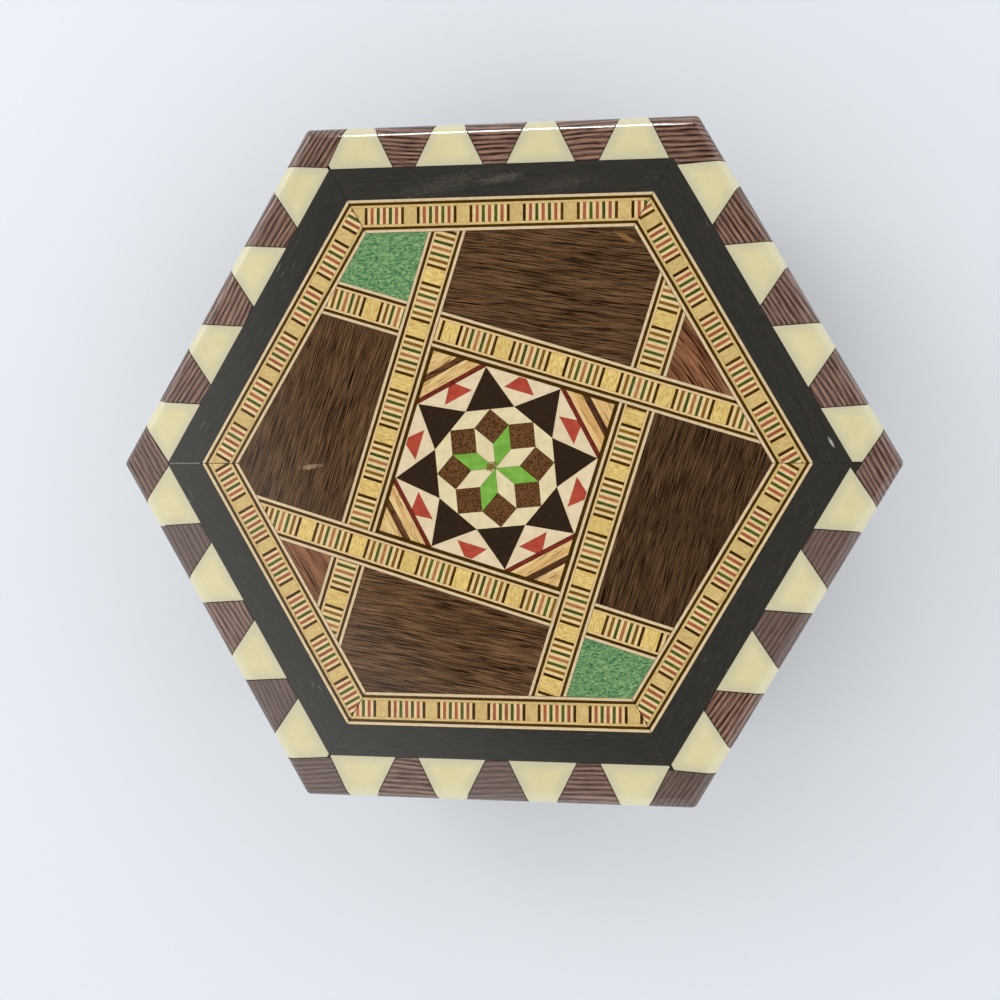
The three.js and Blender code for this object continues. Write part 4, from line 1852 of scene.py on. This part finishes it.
@dataclass(frozen=True)
class Walls:
    """The six walls: plain cores faced with black borders, walnut and a mosaic band."""

    border: float = 5.0
    line: float = 0.6
    corner: float = 1.2
    arc_steps: int = 3
    tone: float = 0.45
    end_share: float = 0.57
    end_block: float = 0.5

    def plan(self, inner: float, outer: float) -> Outline:
        """The plan of a facing on the back side, rounded where it meets the next.

        Args:
            inner: The facing's inner apothem.
            outer: Its outer apothem.

        Returns:
            The outline.
        """
        outline = mitred(inner, outer)[:2]
        centre = (outer - self.corner) / math.cos(math.pi / 6)
        for side, sign in ((60, 1), (120, -1)):
            middle = polar(centre, side)
            arc = [polar(self.corner, side + sign * 30 * i / self.arc_steps)
                   for i in range(self.arc_steps + 1)]
            arc = [(middle[0] + x, middle[1] + y) for x, y in arc]
            outline += arc if sign > 0 else arc[::-1]
        return outline

    def build(self, kit: Kit) -> None:
        """Builds the walls and their bands.

        Args:
            kit: The layout and trees.
        """
        layout = kit.layout
        face = layout.apothem - layout.band_depth
        plan = self.plan(face, layout.apothem)
        side = Inlay(seed=21)
        side.prism(WALL_CORE, mitred(layout.cavity, face), 0, layout.wall_top)
        border_bottom = layout.wall_top - self.border
        levels = ((EBONISED, 0, self.border),
                  (HOLLY, self.border, self.border + self.line),
                  (WALNUT, self.border + self.line, layout.band_bottom),
                  (WALNUT, layout.band_top, border_bottom - self.line),
                  (HOLLY, border_bottom - self.line, border_bottom),
                  (EBONISED, border_bottom, layout.wall_top))
        for finish, bottom, top in levels:
            side.prism(finish, plan, bottom + FINE_JOINT, top - FINE_JOINT, tone=self.tone)
        boards = side.turned_copies(kit.copies, 6, seed=61)
        boards.build("wall_boards", Slot.WALNUT, [f"wall_{side}" for side in SIDES])
        self.band(kit, plan, face)

    def band(self, kit: Kit, plan: Outline, face: float) -> None:
        """Builds the mosaic band of one wall and turns it round the box.

        Args:
            kit: The layout and trees.
            plan: The facing's plan.
            face: The apothem of the groove's floor.
        """
        layout = kit.layout
        band = Inlay(seed=23)
        pattern = Banding(layout.band_top - layout.band_bottom)
        bars = []
        for height, sign in ((layout.band_bottom, 1), (layout.band_top, -1)):
            for finish, width in pattern.lines():
                bottom, top = sorted((height, height + sign * width))
                band.prism(finish, plan, bottom + HAIR_JOINT, top - HAIR_JOINT)
                height += sign * width
            bars.append(height)
        end = layout.apothem * self.end_share - self.end_block
        for bounds in ({"left": end}, {"right": -end}):
            band.prism(BOXWOOD, windowed(plan, **bounds), *bars)
        room = windowed(plan, left=-end, right=end)
        pattern.stand(kit, band, room, (face, layout.apothem), tuple(bars), 90)
        copies = band.turned_copies(kit.copies, 6, seed=67)
        copies.build("wall_band_slips", Slot.MOSAIC, [f"wall_band_{side}" for side in SIDES])


@dataclass(frozen=True)
class GlueBed:
    """The thin dark layer of glue that the lid's veneers are laid in."""

    clearance: float = 0.05

    def build(self, kit: Kit) -> None:
        """Builds the layer between the lid's raised field and the veneers.

        Args:
            kit: The layout and trees.
        """
        layout = kit.layout
        bed = Inlay(seed=25)
        bed.prism(GLUE, hexagon(layout.edging_inner),
                  layout.veneer_bottom - FRAME_GLUE_LINE + self.clearance,
                  layout.veneer_bottom - self.clearance)
        bed.build("glue_bed", Slot.PLAIN, [])


@dataclass(frozen=True)
class Studio:
    """A pale floor and bright surroundings, darker overhead, with a soft lamp beyond the back."""

    floor_colour: str = "#e5eaf0"
    floor_reach: float = 3.0
    sky_stops: Stops = (
        (0.0, "#f8fafc"), (0.84, "#ffffff"), (0.885, "#c0c0bc"), (0.915, "#4c4c4a"), (0.935, "#222222"),
        (1.0, "#181818"))
    sky_strength: float = 1.27
    dark_axis: tuple[float, float, float] = (0.12, 0.14, 0.983)
    lamp_elevation: float = 60.0
    lamp_azimuth: float = 100.0
    lamp_distance: float = 2.0
    lamp_shift: tuple[float, float, float] = (0.0, 0.05, 0.05)
    lamp_size: tuple[float, float] = (0.7, 0.4)
    lamp_power: float = 32.0
    fill_place: tuple[float, float, float] = (-0.5, 0.3, 0.45)
    fill_size: float = 0.3
    fill_power: float = 0.65
    aim: tuple[float, float, float] = (0.0, 0.0, 0.05)

    def build(self) -> None:
        """Builds the floor, the surroundings and the lamps."""
        self.floor()
        self.surroundings()
        elevation, azimuth = math.radians(self.lamp_elevation), math.radians(self.lamp_azimuth)
        away = Vector((math.cos(elevation) * math.cos(azimuth), math.cos(elevation) * math.sin(azimuth),
                       math.sin(elevation)))
        strip = self.lamp("lamp", away * self.lamp_distance + Vector(self.lamp_shift), self.lamp_size,
                          self.lamp_power)
        # It is there for its shine on the edging alone.
        strip.visible_diffuse = False
        self.lamp("fill", Vector(self.fill_place), (self.fill_size, self.fill_size), self.fill_power)
        bpy.context.scene.view_settings.view_transform = "Standard"

    def floor(self) -> None:
        """Builds the floor of matt white paper, whose colour is a little cool."""
        mesh = bpy.data.meshes.new("floor")
        reach = self.floor_reach
        corners = [(-reach, -reach, 0), (reach, -reach, 0), (reach, reach, 0), (-reach, reach, 0)]
        mesh.from_pydata(corners, [], [(0, 1, 2, 3)])
        floor = bpy.data.objects.new("floor", mesh)
        bpy.context.scene.collection.objects.link(floor)
        paper = bpy.data.materials.new("backdrop_paper")
        paper.use_nodes = True
        tree = paper.node_tree
        tree.nodes.clear()
        shader = add_node(tree, "ShaderNodeBsdfPrincipled", {
            "Base Color": linear(self.floor_colour), "Roughness": 0.9, "Specular IOR Level": 0.1})
        add_node(tree, "ShaderNodeOutputMaterial", {"Surface": shader.outputs["BSDF"]})
        mesh.materials.append(paper)

    def surroundings(self) -> None:
        """Builds the world: bright all round, and dark overhead, where the lid mirrors it."""
        world = bpy.data.worlds.new("surroundings")
        world.use_nodes = True
        tree = world.node_tree
        tree.nodes.clear()
        direction = add_node(tree, "ShaderNodeTexCoord").outputs["Generated"]
        height = add_node(tree, "ShaderNodeVectorMath", {0: direction, 1: self.dark_axis},
                          operation="DOT_PRODUCT")
        sky = add_node(tree, "ShaderNodeValToRGB", {"Fac": height.outputs["Value"]}, stops=self.sky_stops)
        background = add_node(tree, "ShaderNodeBackground", {
            "Color": sky.outputs["Color"], "Strength": self.sky_strength})
        add_node(tree, "ShaderNodeOutputWorld", {"Surface": background.outputs["Background"]})
        bpy.context.scene.world = world

    def lamp(self, name: str, place: Vector, size: tuple[float, float],
             power: float) -> bpy.types.Object:
        """Adds a soft lamp that faces the box.

        Args:
            name: The lamp's name.
            place: Where it stands, in metres.
            size: Its width and height.
            power: Its power in watts.

        Returns:
            The lamp.
        """
        lamp = bpy.data.lights.new(name, "AREA")
        lamp.shape = "RECTANGLE"
        lamp.size, lamp.size_y = size
        lamp.energy = power
        holder = bpy.data.objects.new(name, lamp)
        holder.location = place
        holder.rotation_mode = "QUATERNION"
        holder.rotation_quaternion = (place - Vector(self.aim)).to_track_quat("Z", "Y")
        bpy.context.scene.collection.objects.link(holder)
        return holder


@dataclass(frozen=True)
class Camera:
    """The photograph's view, straight down on the lid and turned a little towards its right side."""

    distance: float = 198.1
    aside: Point = (-0.5, 7.3)
    turn: tuple[float, float, float] = (0.72, -6.25, -0.16)
    lens: float = 36.0
    sensor: float = 36.0
    clip_start: float = 10.0

    def build(self, layout: Layout) -> None:
        """Builds the camera.

        Args:
            layout: The box's sizes.
        """
        data = bpy.data.cameras.new("camera")
        data.lens = self.lens
        data.sensor_width = self.sensor
        data.clip_start = self.clip_start * MM
        camera = bpy.data.objects.new("camera", data)
        axis = Vector(math.radians(a) for a in self.turn)
        seen = Matrix.Rotation(axis.length, 4, axis.normalized())
        lid = Matrix.Translation((0, 0, -layout.top * MM))
        away = Matrix.Translation((self.aside[0] * MM, self.aside[1] * MM, -self.distance * MM))
        camera.matrix_world = (away @ seen @ lid).inverted()
        bpy.context.scene.collection.objects.link(camera)
        bpy.context.scene.camera = camera


def dress_frame(node: str, finish: Finish) -> None:
    """Gives a node of the frame its finish.

    Args:
        node: The node's name.
        finish: Its finish.
    """
    for item in bpy.data.objects[node].material_slots:
        item.material = finish.material()
    LOG.info("%s: dressed in %s", node, finish.name)


def main() -> None:
    """Builds the scene piece by piece."""
    logging.basicConfig(level=logging.INFO, format="%(name)s: %(message)s")
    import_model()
    layout = Layout.from_frame()
    Camera().build(layout)
    kit = Kit(layout, SlipRows(), TurnedCopies())
    Walls().build(kit)
    for node in ("lid_board", "base_board"):
        dress_frame(node, CARCASS)
    for assembly in (Edging(), Borders(), Lattice(), Medallion(), GlueBed()):
        assembly.build(kit)
    Studio().build()


if __name__ == "__main__":
    main()
